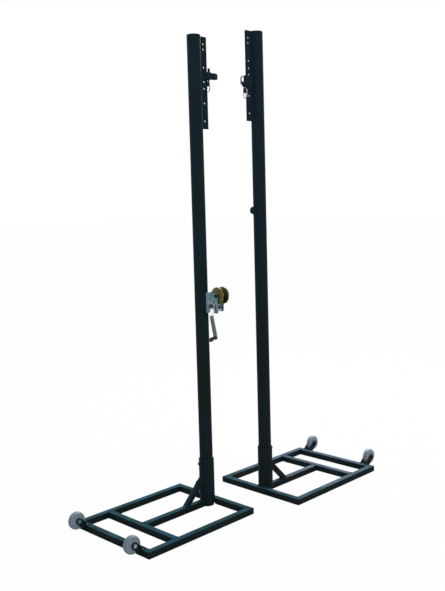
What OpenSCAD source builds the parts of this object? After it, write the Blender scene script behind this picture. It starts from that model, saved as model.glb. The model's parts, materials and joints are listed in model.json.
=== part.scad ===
// Pair of free-standing volleyball posts on wheeled base frames.
// The winch post stands on the -X side and the hook post on the +X side, with the net between them along X.
// Each post is drawn about its own pole axis, floor at Z = 0, net side towards +X, and then put in its place.

/* [Poles] */
// Length of each round pole, with its cap
pole_len = 2550; // [2300:10:2800]
// Outside diameter of the round poles
pole_d = 73; // [64:1:78]
// Wall of the round poles
pole_wall = 3; // [2:0.5:5]
// Thickness of the pole cap's rim above the tube
cap_h = 3; // [2:0.5:6]
// How far the hook post's pole stands raised in its sleeve
pole_raised = 45; // [0:5:80]

/* [Places of the two posts] */
// Clear distance between the two base frames along the net
post_gap = 247; // [200:1:2000]
// How far the hook post stands forward of the winch post
post_stagger = 109; // [0:1:400]

/* [Base frames] */
// Length of a base frame along the net
base_len = 740; // [640:1:900]
// Width of a base frame across the net
base_w = 588; // [480:1:760]
// Outside width of the square tube
tube = 35; // [30:1:45]
// Wall of the square tube
tube_wall = 2.5; // [1.5:0.5:4]
// Outside radius of the square tube's edges
tube_r = 3.5; // [3:0.5:6]
// Clear length of the small bay at the wheel end
wheel_bay = 150; // [120:1:240]
// Distance from the pole axis to the frame's outer edge at the pole end
pole_inset = 61; // [58:1:80]

/* [Sleeve and brace] */
// Wall of the sleeve that the pole stands in
sleeve_wall = 5; // [3:0.5:7]
// Radial play of the pole in its sleeve
pole_play = 0.5; // [0.3:0.1:1]
// Height of the sleeve's lower end above the floor
sleeve_low = 15; // [5:1:25]
// Height of the sleeve's upper end above the floor
sleeve_top = 266; // [220:1:320]
// Distance of the brace's foot from the pole axis
brace_foot = 160; // [140:1:200]
// Outside width of the brace's square tube
brace_tube = 28; // [24:1:35]
// Slope of the brace
brace_slope = 45; // [40:1:50]
// Clamp bolt's distance below the sleeve's upper end
clamp_drop = 20; // [16:1:40]
// Thread diameter of the clamp bolt
clamp_d = 10; // [8:1:16]
// Distance of the spare nut along the winch post's brace from the middle of its foot
brace_nut = 140; // [60:1:155]

/* [Wheels] */
// Diameter of a wheel
wheel_d = 92; // [76:1:100]
// Width of a wheel's tread
wheel_w = 30; // [24:1:40]
// Distance of a wheel's middle from the frame's side edge
wheel_in = 71; // [50:1:90]
// Distance of the axle beyond the frame's wheel end
axle_out = 45; // [44:1:60]
// Height of the axle above the floor while the post stands
axle_z = 71; // [64:1:95]
// Diameter of the axle bolts
axle_d = 12; // [10:1:14]
// Thickness of the fork plates
fork_t = 4; // [3:0.5:6]
// Side gap between a wheel's hub and its fork
fork_gap = 0.6; // [0.4:0.1:1.5]

/* [Height bars] */
// Distance of a bar's outer edge from the pole axis
bar_reach = 88; // [80:1:100]
// Thickness of the flat bar
bar_t = 8; // [6:1:12]
// Length of the flat bar
bar_len = 480; // [465:5:700]
// Diameter of the holes along the bar
hole_d = 13; // [10:1:15]
// Distance of the row of holes from the bar's outer edge
hole_edge = 21; // [16:1:26]
// First hole below the bar's top
hole_1 = 38; // [34:1:42]
// Second hole below the bar's top
hole_2 = 65; // [58:1:80]
// Third hole below the bar's top
hole_3 = 159; // [150:1:168]
// Fourth hole below the bar's top, where the winch post's carriage stands
hole_4 = 199; // [190:1:208]
// Fifth hole below the bar's top
hole_5 = 233; // [225:1:242]
// Sixth hole below the bar's top, where the hook post's carriage stands
hole_6 = 269; // [260:1:280]
// Seventh hole below the bar's top
hole_7 = 345; // [330:1:360]
// Eighth hole below the bar's top
hole_8 = 439; // [430:1:445]

/* [Carriages] */
// Thickness of a carriage's side plates
cheek_t = 5; // [4:0.5:7]
// Play between a carriage and its bar on each face
bar_play = 0.35; // [0.3:0.05:0.8]
// Distance of the carriages' outer edge from the pole axis
carriage_reach = 112; // [108:1:130]
// Height of the winch post's carriage plates above their hole
cheek_up = 19; // [17:1:30]
// Depth of the winch post's carriage plates below their hole
cheek_down = 20; // [17:1:30]
// Depth of the hook post's carriage plates below their hole
hook_cheek_down = 29; // [26:1:40]
// Height of the hook post's carriage plates above their hole
hook_cheek_up = 32; // [28:1:40]
// Length of the tongue below the plates
tongue_len = 34; // [30:1:45]
// Diameter of the hole in the tongue
tongue_hole_d = 14; // [13:0.5:16]
// Diameter of the upright peg
peg_d = 13; // [10:1:16]
// Height of the upright peg above the plates
peg_h = 21; // [15:1:40]
// Diameter of the locking pins
lock_d = 8; // [6:0.5:10]
// Travel of the locking pins
lock_travel = 9; // [9:0.5:12]

/* [Sheave and hook] */
// Diameter of the rope sheave
sheave_d = 36; // [30:1:38]
// Distance of the sheave's axle from the pole axis
sheave_out = 137; // [134:1:150]
// Height of the sheave's axle below the carriage's hole
sheave_drop = 0; // [0:1:3]
// Diameter of the sheave's bolt
sheave_bolt_d = 8; // [6:1:10]
// Reach of the sheave's arms beyond its axle
arm_end = 25; // [22:1:40]
// Thickness of the hook's round bar
hook_d = 7; // [6:0.5:10]
// Radius of the hook's bend, to the middle of the bar
hook_r = 17; // [15:1:22]

/* [Snap hooks] */
// Thickness of a snap hook's wire
snap_d = 6; // [5:0.5:7]
// Distance between the middles of a snap hook's two sides
snap_w = 24; // [22:1:30]
// Length of a snap hook's straight sides
snap_side = 26; // [24:1:50]

/* [Winch] */
// Height of the drum's axle above the pole's lower end
drum_z = 1185; // [800:5:1500]
// Distance of the drum's axle from the pole axis
drum_y = 144; // [138:1:160]
// Width of the winch frame outside
winch_w = 58; // [50:1:70]
// Sheet thickness of the winch frame
winch_t = 3; // [2:0.5:4]
// Distance of the winch frame's back from the pole axis
winch_back = 67; // [60:1:80]
// Depth of the winch frame, back to front
winch_depth = 86; // [84:1:100]
// Height of the winch frame
winch_h = 106; // [100:1:120]
// Height of the frame's upper edge above the drum's axle
winch_up = 13; // [11:1:20]
// Module of the drum gear and its pinion
gear_m = 1.95; // [1.8:0.05:2]
// Teeth of the pinion, a third of the drum gear's
pinion_teeth = 15; // [14:1:16]
// Width of the drum gear
gear_w = 8; // [6:1:10]
// Diameter of the drum's core
core_d = 32; // [24:1:40]
// Diameter of the drum's axle bolt
drum_bolt_d = 12; // [10:1:14]
// Diameter of the crank shaft
crank_shaft_d = 14; // [12:1:15]
// Direction from the drum's axle to the crank shaft, below the level line
pinion_dir = 66; // [60:1:70]
// Length of the crank, axle to grip
crank_len = 166; // [140:1:200]
// Angle of the hanging crank off the plumb line
crank_tilt = 13; // [0:1:30]
// Width of the crank's flat arm
crank_w = 25; // [18:1:28]
// Thickness of the crank's flat arm
crank_t = 6; // [4:0.5:8]
// How far the crank's arm steps out below its hub
crank_step = 18; // [8:1:24]
// Length of the crank's grip
grip_len = 42; // [36:1:110]
// Slope of the grip below the level line
grip_droop = 14; // [0:1:20]
// Angle that the pawl is lifted off its ratchet
pawl_lift = 14; // [10:1:18]

/* [Tie lug] */
// Height of the tie lug's middle above the hook post's pole end
lug_z = 1580; // [1200:5:1900]
// Distance of the tie lug's outer edge from the pole axis
lug_reach = 76; // [60:1:90]
// Thickness of the tie lug
lug_t = 10; // [6:1:14]

/* [Hidden] */
$fn = 72;

// Clearances and small shared sizes
cut = 1;                      // how far a cutter runs past what it cuts
run_play = 0.08;              // radial play of an axle in its bore
side_play = 0.35;             // side play of a turning piece
weld_sink = 2;                // how deep a welded-on piece starts inside the outline that trims it
edge_steps = 4;               // flats that round each edge of a square tube

// Colours
PAINT = [0.10, 0.14, 0.15];
ZINC = [0.72, 0.75, 0.77];
YELLOW_ZINC = [0.55, 0.49, 0.29];
NYLON = [0.80, 0.80, 0.76];
BLACK = [0.06, 0.06, 0.06];
SNAP_STEEL = [0.80, 0.81, 0.84];

// Base frame, seen from its pole axis
net_edge = pole_inset;
wheel_edge = pole_inset - base_len;
side_y = base_w / 2;
cross_x = wheel_edge + tube + wheel_bay;
sleeve_id = pole_d + 2 * pole_play;
sleeve_od = sleeve_id + 2 * sleeve_wall;
clamp_z = sleeve_top - clamp_drop;

// Bolt and nut proportions, as shares of the thread diameter
function across_flats(d) = 1.55 * d;
function head_h(d) = 0.62 * d;
function nut_h(d) = 0.8 * d;

// Wheels
axle_x = wheel_edge - axle_out;
wheel_y = side_y - wheel_in;
hub_w = wheel_w + 4;
fork_in = hub_w / 2 + fork_gap;
fork_out = fork_in + fork_t;
bush_od = axle_d + 6;
fork_eye_r = axle_d / 2 + 6;
fork_foot = 0.8 * tube;

// Height bar and carriages
tube_top = pole_len - cap_h;
bar_top = tube_top;
hole_x = bar_reach - hole_edge;
lowest_hole = min(hole_8, bar_len - 2 * hole_d);
hole_drops = [hole_1, hole_2, hole_3, hole_4, hole_5, hole_6, hole_7, lowest_hole];
cheek_in = bar_t / 2 + bar_play;
cheek_out = cheek_in + cheek_t;
pole_clear = 3.5;
cheek_back = pole_d / 2 + pole_clear;
web_back = bar_reach + bar_play;
tongue_inset = 5;
tongue_front = carriage_reach - tongue_inset;
tongue_x = (web_back + tongue_front) / 2;
winch_carriage_z = bar_top - hole_4;
hook_carriage_z = bar_top - hole_6;
peg_x = carriage_reach - peg_d / 2;
peg_bevel = 2;
peg_sink = 0.5;
lock_barrel = 22;
lock_gap = lock_travel + 1;
sheave_z = winch_carriage_z - sheave_drop;
arm_half = cheek_up - 3;
hook_step = 14;
hook_z = hook_carriage_z + 6;
hook_x = carriage_reach + 0.5;

// Snap hooks hang with their wire on the lower edge of the tongue's hole
snap_r = snap_w / 2;
snap_sink = snap_r - sqrt(snap_r * snap_r - cheek_in * cheek_in);
snap_play = 0.6;
snap_drop = tongue_hole_d / 2 - snap_play + snap_r - snap_d / 2 - snap_sink;
tongue_hole_drop = tongue_hole_d / 2 + 1;
snap_neck = 5;
gate_low = 6;
gate_gap = 0.4;
gate_r = snap_d / 2 - 0.6;

// Winch, seen from the pole axis, with its frame on the -Y side
gear_teeth = 3 * pinion_teeth;
gear_backlash = 0.3;
inv_20 = tan(20) - 20 * PI / 180;
pitch_r = gear_teeth * gear_m / 2;
pinion_r = pinion_teeth * gear_m / 2;
pinion_y = -drum_y + (pitch_r + pinion_r) * cos(pinion_dir);
pinion_z = drum_z - (pitch_r + pinion_r) * sin(pinion_dir);
mesh_dir = atan2(pinion_y + drum_y, drum_z - pinion_z);
winch_top = drum_z + winch_up;
winch_low = winch_top - winch_h;
winch_front = winch_back + winch_depth;
plate_x = winch_w / 2;
plate_in = plate_x - winch_t;
gear_x = plate_in - 2 - gear_w;
flange_x = -plate_in + 4;
flange_t = 2.5;
flange_r = pitch_r + gear_m;
bracket_t = 6;
bracket_rib_x = 22;
bracket_rib_t = 6;
bracket_rib_in = 8;
mount_x = 11;
mount_rise = 24;
ratchet_x = -plate_x - 1;
ratchet_t = 5;
ratchet_r = 14;
ratchet_root = 10.5;
ratchet_teeth = 12;
ratchet_turn = 3;
ratchet_rake = 4;
hub_x = ratchet_x - ratchet_t - 0.5;
hub_out = hub_x - crank_t;
hub_r = crank_w / 2 + 1.5;
crank_out = hub_out - crank_step;
bend_top = 14;
bend_low = 50;
pawl_arm = 26;
pawl_reach = sqrt(pawl_arm * pawl_arm + ratchet_r * ratchet_r);
pawl_pivot_dir = 35;
pawl_y = pinion_y + pawl_reach * cos(pawl_pivot_dir);
pawl_z = pinion_z + pawl_reach * sin(pawl_pivot_dir);
pawl_pin_d = 6;
pawl_eye_r = 6.5;
spacer_in = 24;
spacer_up = 15;
spacer_d = 12;
spacer_bolt_d = 8;
mount_d = 8;
far_plate_up = 4;
far_plate_back = 12;
ear_drop = 14;
nut_flats = 20;
nut_len = 8;
nut_washer = 2;
shaft_end = 1;
shaft_past = 6;
collar_t = 2.5;
grip_pin_d = 8;

// ---------- shared shapes ----------

// Corners of a square of side s whose edges are rounded to radius r
function rounded_square(s, r) = [
    for (corner = [0:3], step = [0:edge_steps])
        let (a = 90 * corner + 90 * step / edge_steps,
             sx = corner == 0 || corner == 3 ? 1 : -1,
             sy = corner < 2 ? 1 : -1)
        [sx * (s / 2 - r) + r * cos(a), sy * (s / 2 - r) + r * sin(a)]
];

// Square tube of the given size along +X from the origin, its middle on the X axis
module square_tube(length, size = tube) {
    rotate([90, 0, 90])
        linear_extrude(length)
            difference() {
                polygon(rounded_square(size, tube_r));
                polygon(rounded_square(size - 2 * tube_wall, max(tube_r - tube_wall, 0.5)));
            }
}

// Square tube along X about the origin, mitred at both ends, its longer face on the -Y side
module mitred_tube(length) {
    difference() {
        translate([-length / 2, 0, 0]) square_tube(length);
        for (side = [-1, 1])
            scale([side, 1, 1])
                translate([length / 2, 0, -tube])
                    linear_extrude(2 * tube)
                        polygon([[cut, -tube / 2 - cut], [cut, tube / 2 + cut], [-tube - cut, tube / 2 + cut]]);
    }
}

// Hexagon prism along +Z
module hexagon(flats, height) {
    cylinder(d = flats / cos(30), h = height, $fn = 6);
}

// Bolt along +Z: head below the origin, shank of length grip, nut, and a short thread end
module bolt_and_nut(d, grip) {
    translate([0, 0, -head_h(d)]) hexagon(across_flats(d), head_h(d));
    translate([0, 0, -0.5 * cut]) cylinder(d = d, h = grip + nut_h(d) + 3);
    translate([0, 0, grip]) hexagon(across_flats(d), nut_h(d));
}

// Puts a child drawn about a pole axis into its place on the floor
module at_winch_post() {
    translate([-(post_gap / 2 + pole_inset), post_stagger / 2, 0]) children();
}

module at_hook_post() {
    translate([post_gap / 2 + pole_inset, -post_stagger / 2, 0])
        rotate([0, 0, 180])
            children();
}

// The hook post's pole stands higher in its sleeve than the winch post's
module raised() {
    translate([0, 0, pole_raised]) children();
}

// Both carriages have their lock pins on the same side of the net
module back_to_front() {
    mirror([0, 1, 0]) children();
}

// ---------- base frame ----------

module side_rails() {
    for (side = [-1, 1])
        scale([1, -side, 1])
            translate([(net_edge + wheel_edge) / 2, -(side_y - tube / 2), tube / 2])
                mitred_tube(base_len);
}

module wheel_rail() {
    translate([wheel_edge + tube / 2, 0, tube / 2])
        rotate([0, 0, -90])
            mitred_tube(base_w);
}

module pole_rail() {
    difference() {
        translate([net_edge - tube / 2, 0, tube / 2])
            rotate([0, 0, 90])
                mitred_tube(base_w);
        translate([0, 0, -cut]) cylinder(d = sleeve_od, h = tube + 2 * cut);
    }
}

module cross_rail() {
    translate([cross_x + tube / 2, -(side_y - tube), tube / 2])
        rotate([0, 0, 90])
            square_tube(2 * (side_y - tube));
}

module spine() {
    difference() {
        translate([cross_x + tube, 0, tube / 2]) square_tube(-cross_x - tube);
        translate([0, 0, -cut]) cylinder(d = sleeve_od, h = tube + 2 * cut);
    }
}

module sleeve() {
    nut = nut_h(clamp_d) + weld_sink;
    difference() {
        union() {
            translate([0, 0, sleeve_low]) cylinder(d = sleeve_od, h = sleeve_top - sleeve_low);
            translate([-(sleeve_od / 2 - weld_sink), 0, clamp_z])
                rotate([0, -90, 0])
                    hexagon(across_flats(clamp_d), nut);
        }
        translate([0, 0, sleeve_low - cut]) cylinder(d = sleeve_id, h = sleeve_top - sleeve_low + 2 * cut);
        translate([0, 0, clamp_z])
            rotate([0, -90, 0])
                cylinder(r = clamp_d / 2 + run_play, h = sleeve_od);
    }
}

// Diagonal tube from the spine's top to the sleeve
module brace(with_nut) {
    run = brace_foot / cos(brace_slope);
    difference() {
        translate([-brace_foot, 0, tube])
            rotate([0, -brace_slope, 0])
                union() {
                    translate([-brace_tube, 0, 0]) square_tube(run + brace_tube, brace_tube);
                    if (with_nut)
                        translate([brace_nut, 0, brace_tube / 2 - weld_sink])
                            hexagon(across_flats(clamp_d), nut_h(clamp_d) + weld_sink);
                }
        translate([-brace_foot - 2 * tube, -tube, -tube]) cube([4 * tube, 2 * tube, 2 * tube]);
        cylinder(d = sleeve_od, h = sleeve_top);
    }
}

// Bolt whose tip clamps the pole through the sleeve
module clamp_bolt() {
    tip = pole_d / 2 + 0.3;
    head = sleeve_od / 2 + nut_h(clamp_d) + 1.5;
    translate([0, 0, clamp_z])
        rotate([0, -90, 0]) {
            translate([0, 0, tip]) cylinder(d = clamp_d, h = head - tip + cut);
            translate([0, 0, head]) cylinder(d = across_flats(clamp_d) * 1.1, h = 1.5);
            translate([0, 0, head + 1]) hexagon(across_flats(clamp_d), head_h(clamp_d));
        }
}

// ---------- wheels and forks ----------

// Outline of one fork plate in the XZ plane: from the rail's top out to the axle's eye
module fork_outline() {
    foot = [wheel_edge + tube / 2, tube + fork_t / 2];
    eye = [axle_x, axle_z];
    along = (eye - foot) / norm(eye - foot);
    across = [-along[1], along[0]];
    wide = fork_foot / 2;
    slim = fork_eye_r - 1;
    difference() {
        union() {
            polygon([foot + across * wide, eye + across * slim, eye - across * slim, foot - across * wide,
                foot - across * wide - along * wide, foot + across * wide - along * wide]);
            translate(eye) circle(r = fork_eye_r);
        }
        translate([wheel_edge - tube, -tube]) square([3 * tube, 2 * tube]);
        translate([wheel_edge + tube, 0]) square([2 * tube, 4 * tube]);
        translate(eye) circle(d = axle_d + 0.4);
    }
}

// Two plates to each wheel, joined by a base plate on the rail
module wheel_forks() {
    for (side = [-1, 1])
        translate([0, side * wheel_y, 0]) {
            for (plate = [-1, 1])
                translate([0, plate * (fork_in + fork_t / 2) + fork_t / 2, 0])
                    rotate([90, 0, 0])
                        linear_extrude(fork_t)
                            fork_outline();
            translate([wheel_edge, -fork_in - fork_t / 2, tube]) cube([tube, 2 * fork_in + fork_t, fork_t]);
        }
}

module axle_bolts() {
    for (side = [-1, 1])
        translate([axle_x, side * wheel_y - fork_out, axle_z])
            rotate([-90, 0, 0])
                bolt_and_nut(axle_d, 2 * fork_out);
}

// Nylon wheel: crowned tread, a rim, a shallow dish on each face, and a hub
module wheel(side) {
    tread_r = wheel_d / 2;
    half = wheel_w / 2;
    edge = 5;
    dish = 3;
    rim_r = tread_r - 11;
    hub_r_out = bush_od / 2 + 7;
    half_profile = [
        [bush_od / 2, hub_w / 2],
        [hub_r_out, hub_w / 2],
        [hub_r_out + 2, half - dish],
        [rim_r - 3, half - dish],
        [rim_r, half],
        for (a = [90:-15:0]) [tread_r - edge - 1 + edge * cos(a), half - edge + edge * sin(a)],
        [tread_r, 0]
    ];
    translate([axle_x, side * wheel_y, axle_z])
        rotate([90, 0, 0])
            rotate_extrude($fn = 96)
                polygon(concat(half_profile,
                    [for (i = [len(half_profile) - 2:-1:0]) [half_profile[i][0], -half_profile[i][1]]]));
}

module bush(side) {
    translate([axle_x, side * wheel_y, axle_z])
        rotate([90, 0, 0])
            difference() {
                cylinder(d = bush_od, h = hub_w, center = true);
                cylinder(r = axle_d / 2 + run_play, h = hub_w + 2 * cut, center = true);
            }
}

// ---------- pole, cap and height bar ----------

module pole_tube() {
    difference() {
        cylinder(d = pole_d, h = tube_top);
        translate([0, 0, -cut]) cylinder(d = pole_d - 2 * pole_wall, h = tube_top + 2 * cut);
    }
}

module pole_cap() {
    rim = pole_d / 2;
    plug_r = rim - pole_wall;
    plug_len = 16;
    plug_t = 2;
    translate([0, 0, tube_top])
        rotate_extrude()
            polygon([[0, cap_h], [rim - 3, cap_h], [rim - 0.5, cap_h * 0.6], [rim, 0],
                [plug_r, 0], [plug_r, -plug_len], [plug_r - plug_t, -plug_len], [plug_r - plug_t, -plug_t],
                [0, -plug_t]]);
}

module height_bar() {
    difference() {
        translate([pole_d / 2 - weld_sink, -bar_t / 2, bar_top - bar_len])
            cube([bar_reach - pole_d / 2 + weld_sink, bar_t, bar_len]);
        translate([0, 0, bar_top - bar_len - cut]) cylinder(d = pole_d, h = bar_len + 2 * cut);
        for (drop = hole_drops)
            translate([hole_x, 0, bar_top - drop])
                rotate([90, 0, 0])
                    cylinder(d = hole_d, h = 2 * bar_t, center = true);
    }
}

// ---------- carriages ----------

// Two side plates and the web between them that wraps the bar's outer edge, from a plate outline in XZ
module carriage_body(outline, low, high, hole_z) {
    difference() {
        union() {
            for (side = [0, 1])
                scale([1, side == 0 ? 1 : -1, 1])
                    translate([0, cheek_out, 0])
                        rotate([90, 0, 0])
                            linear_extrude(cheek_t)
                                polygon(outline);
            translate([0, cheek_in + weld_sink / 2, 0])
                rotate([90, 0, 0])
                    linear_extrude(2 * cheek_in + weld_sink)
                        intersection() {
                            polygon(outline);
                            translate([web_back, low]) square([2 * carriage_reach, high - low]);
                        }
            translate([web_back, -cheek_in, low - tongue_len])
                cube([tongue_front - web_back, 2 * cheek_in, tongue_len + weld_sink]);
            translate([hole_x, cheek_out - weld_sink, hole_z])
                rotate([-90, 0, 0])
                    cylinder(d = lock_d + 10, h = lock_barrel + weld_sink);
        }
        translate([hole_x, 0, hole_z])
            rotate([-90, 0, 0])
                cylinder(r = lock_d / 2 + run_play, h = cheek_out + lock_barrel + cut);
        translate([tongue_x, 0, low - tongue_hole_drop])
            rotate([90, 0, 0])
                cylinder(d = tongue_hole_d, h = 4 * cheek_in, center = true);
    }
}

// Side plate of the winch post's carriage, with the arms that hold the sheave
function winch_cheek() = let (z = winch_carriage_z, r = 5, top_r = 1, tip = sheave_out + arm_end) [
    [cheek_back + r, z - cheek_down],
    [carriage_reach - r, z - cheek_down],
    [carriage_reach, sheave_z - arm_half],
    for (a = [-90:30:0]) [tip - r + r * cos(a), sheave_z - arm_half + r + r * sin(a)],
    for (a = [0:30:90]) [tip - 2 * r + 2 * r * cos(a), sheave_z + arm_half - 2 * r + 2 * r * sin(a)],
    [carriage_reach + 3, sheave_z + arm_half],
    [carriage_reach, sheave_z + arm_half + 3],
    for (a = [0:30:90])
        [carriage_reach - top_r + top_r * cos(a), z + cheek_up - top_r + top_r * sin(a)],
    [cheek_back, z + cheek_up],
    [cheek_back, z - cheek_down + r]
];

module winch_carriage() {
    z = winch_carriage_z;
    difference() {
        union() {
            carriage_body(winch_cheek(), z - cheek_down, z + cheek_up, z);
            translate([peg_x, 0, z + cheek_up]) {
                translate([0, 0, -peg_sink]) cylinder(d = peg_d, h = peg_h - peg_bevel + peg_sink);
                translate([0, 0, peg_h - peg_bevel])
                    cylinder(d1 = peg_d, d2 = peg_d - 2 * peg_bevel, h = peg_bevel);
            }
        }
        translate([carriage_reach + 0.4 - cut, -cheek_in, z - 2 * cheek_down])
            cube([2 * carriage_reach, 2 * cheek_in, 4 * cheek_down]);
        translate([sheave_out, 0, sheave_z])
            rotate([90, 0, 0])
                cylinder(d = sheave_bolt_d + 0.2, h = 4 * cheek_out, center = true);
    }
}

module rope_sheave() {
    half = cheek_in - side_play;
    r = sheave_d / 2;
    groove = 5;
    translate([sheave_out, 0, sheave_z])
        rotate([90, 0, 0])
            rotate_extrude()
                polygon([[sheave_bolt_d / 2 + run_play, -half], [r - 1, -half], [r, -half + 0.8],
                    [r - groove, -1.2], [r - groove, 1.2], [r, half - 0.8], [r - 1, half],
                    [sheave_bolt_d / 2 + run_play, half]]);
}

module rope_sheave_bolt() {
    translate([sheave_out, -cheek_out, sheave_z])
        rotate([-90, 0, 0])
            bolt_and_nut(sheave_bolt_d, 2 * cheek_out);
}

// Side plate of the hook post's carriage, stepped out towards its foot
function hook_cheek() = let (z = hook_carriage_z, r = 3) [
    [cheek_back, z - hook_cheek_down],
    [carriage_reach - r, z - hook_cheek_down],
    [carriage_reach, z - hook_cheek_down + r],
    [carriage_reach - 1, z - 12],
    [carriage_reach - hook_step, z + 4],
    [carriage_reach - hook_step, z + hook_cheek_up - r],
    [carriage_reach - hook_step - r, z + hook_cheek_up],
    [cheek_back, z + hook_cheek_up]
];

module hook_carriage() {
    z = hook_carriage_z;
    carriage_body(hook_cheek(), z - hook_cheek_down, z + hook_cheek_up, z);
}

// Round bar bent into an open hook, trimmed where it is welded to the carriage
module net_hook() {
    difference() {
        translate([hook_x, 0, hook_z])
            rotate([90, 0, 0])
                rotate([0, 0, -130])
                    rotate_extrude(angle = 215, $fn = 96)
                        translate([hook_r, 0]) circle(d = hook_d, $fn = 32);
        translate([0, cheek_out, 0])
            rotate([90, 0, 0])
                linear_extrude(2 * cheek_out)
                    polygon(hook_cheek());
    }
}

// Pull pin with its knob, drawn back so that its tip clears the bar
module lock_pin(hole_z) {
    tip = cheek_in + 0.3;
    knob = cheek_out + lock_barrel + lock_gap;
    bevel = 1.5;
    neck_r = 8;
    knob_r = 11;
    knob_len = 16;
    translate([hole_x, 0, hole_z])
        rotate([-90, 0, 0]) {
            translate([0, 0, tip + bevel]) cylinder(d = lock_d, h = knob - tip);
            translate([0, 0, tip]) cylinder(d1 = lock_d - 2 * bevel, d2 = lock_d, h = bevel);
            translate([0, 0, knob])
                rotate_extrude()
                    polygon([[0, 0], [neck_r, 0], [neck_r, 3], [knob_r, 6], [knob_r, knob_len - 3],
                        [knob_r - 2.5, knob_len], [0, knob_len]]);
        }
}

// ---------- snap hooks ----------

// Height of the middle of a snap hook's upper bend, under a carriage whose plates end at low
function snap_top(low) = low - tongue_hole_drop - snap_drop;

// Half a ring of the snap hook's wire, above the X axis
module snap_bend() {
    rotate_extrude(angle = 180, $fn = 48)
        translate([snap_r, 0]) circle(d = snap_d, $fn = 24);
}

// A straight piece of the snap hook's wire, from z down to z - length
module snap_wire(y, z, length) {
    translate([0, y, z - length]) cylinder(d = snap_d, h = length, $fn = 24);
}

// Wire loop in the YZ plane that hangs through a tongue's hole, open on the side where its gate closes
module snap_hook(low) {
    translate([tongue_x, 0, snap_top(low)]) {
        rotate([90, 0, 90]) snap_bend();
        translate([0, 0, -snap_side]) rotate([-90, 0, 90]) snap_bend();
        snap_wire(-snap_r, 0, snap_side);
        snap_wire(snap_r, 0, snap_neck);
        snap_wire(snap_r, -snap_side + gate_low, gate_low);
    }
}

// Straight gate that closes the loop's open side and swings in about the knuckle at its lower end
module snap_gate(low) {
    pivot = gate_low + gate_gap + gate_r;
    height = snap_side - pivot - snap_neck - gate_gap;
    translate([tongue_x, snap_r, snap_top(low) - snap_side + pivot]) {
        rotate([0, 90, 0]) cylinder(r = gate_r, h = snap_d, center = true);
        cylinder(r = gate_r, h = height, $fn = 24);
    }
}

// ---------- winch ----------

// Places a drawing whose Z axis is the drum's axle, with its Z = 0 at x
module on_drum_axle(x) {
    translate([x, -drum_y, drum_z]) rotate([0, 90, 0]) children();
}

module on_crank_shaft(x) {
    translate([x, pinion_y, pinion_z]) rotate([0, 90, 0]) children();
}

// Involute gear outline: teeth, module, and the turn of its first tooth
function involute(r, base) = let (a = acos(min(base / r, 1))) (tan(a) - a * PI / 180) * 180 / PI;
function gear_outline(teeth, m, turn, backlash) =
    let (pitch = teeth * m / 2,
         base = pitch * cos(20),
         root = pitch - 1.25 * m,
         tip = pitch + 0.95 * m,
         low = max(base, root + 0.1 * m),
         half = 90 / teeth - backlash * 90 / (PI * pitch) + inv_20 * 180 / PI,
         steps = 3,
         flank = [for (s = [0:steps]) low + (tip - low) * s / steps])
    [for (t = [0:teeth - 1])
        let (mid = turn + 360 * t / teeth)
        each concat(
            [[root, mid - half]],
            [for (r = flank) [r, mid - half + involute(r, base)]],
            [for (s = [steps:-1:0]) [flank[s], mid + half - involute(flank[s], base)]],
            [[root, mid + half]])];
function polar(points) = [for (p = points) [p[0] * cos(p[1]), p[0] * sin(p[1])]];

module winch_bracket() {
    high = winch_h - 2 * bracket_rib_in;
    difference() {
        union() {
            translate([-plate_x, -winch_back, winch_low]) cube([winch_w, bracket_t, winch_h]);
            for (side = [-1, 1])
                translate([side * bracket_rib_x - bracket_rib_t / 2, -winch_back, winch_low + bracket_rib_in])
                    cube([bracket_rib_t, winch_back - pole_d / 4, high]);
        }
        translate([0, 0, winch_low - cut]) cylinder(d = pole_d, h = winch_h + 2 * cut);
        mount_holes(mount_d + 1);
    }
}

module mount_holes(d) {
    for (side = [-1, 1], up = [winch_low + mount_rise, winch_top - mount_rise])
        translate([side * mount_x, -winch_back, up])
            rotate([90, 0, 0])
                cylinder(d = d, h = 4 * bracket_t, center = true);
}

// Side plate of the winch frame in YZ: its lower edge at low, its lower front corner rounded to r,
// and its front edge set back below the drum's axle
function winch_side(low, r, set_back) =
    let (top_r = 6, front = -winch_front + set_back, ear = drum_z - ear_drop) [
    [-winch_back, low],
    for (a = [-90:-15:-180]) [front + r + r * cos(a), low + r + r * sin(a)],
    each set_back > 0 ? [[front, ear - set_back], [-winch_front, ear]] : [],
    for (a = [180:-15:90]) [-winch_front + top_r + top_r * cos(a), winch_top - top_r + top_r * sin(a)],
    [-winch_back, winch_top]
];

module winch_plate(x, low, r, set_back) {
    translate([x, 0, 0])
        rotate([90, 0, 90])
            linear_extrude(winch_t)
                polygon(winch_side(low, r, set_back));
}

module winch_frame() {
    difference() {
        union() {
            translate([-plate_x, -winch_back - winch_t, winch_low]) cube([winch_w, winch_t, winch_h]);
            winch_plate(-plate_x, winch_low, 4, 0);
            winch_plate(plate_in, winch_low + far_plate_up, 12, far_plate_back);
        }
        mount_holes(mount_d + 1);
        on_drum_axle(0) cylinder(d = drum_bolt_d + 0.2, h = 2 * winch_w, center = true);
        on_crank_shaft(0) cylinder(r = crank_shaft_d / 2 + run_play, h = 2 * winch_w, center = true);
        translate([-plate_x, pawl_y, pawl_z])
            rotate([0, 90, 0])
                cylinder(d = pawl_pin_d, h = 4 * winch_t, center = true);
        on_spacer() cylinder(d = spacer_bolt_d, h = 2 * winch_w, center = true);
    }
}

module on_spacer() {
    translate([0, -winch_front + spacer_in, winch_low + spacer_up])
        rotate([0, 90, 0])
            children();
}

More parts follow.
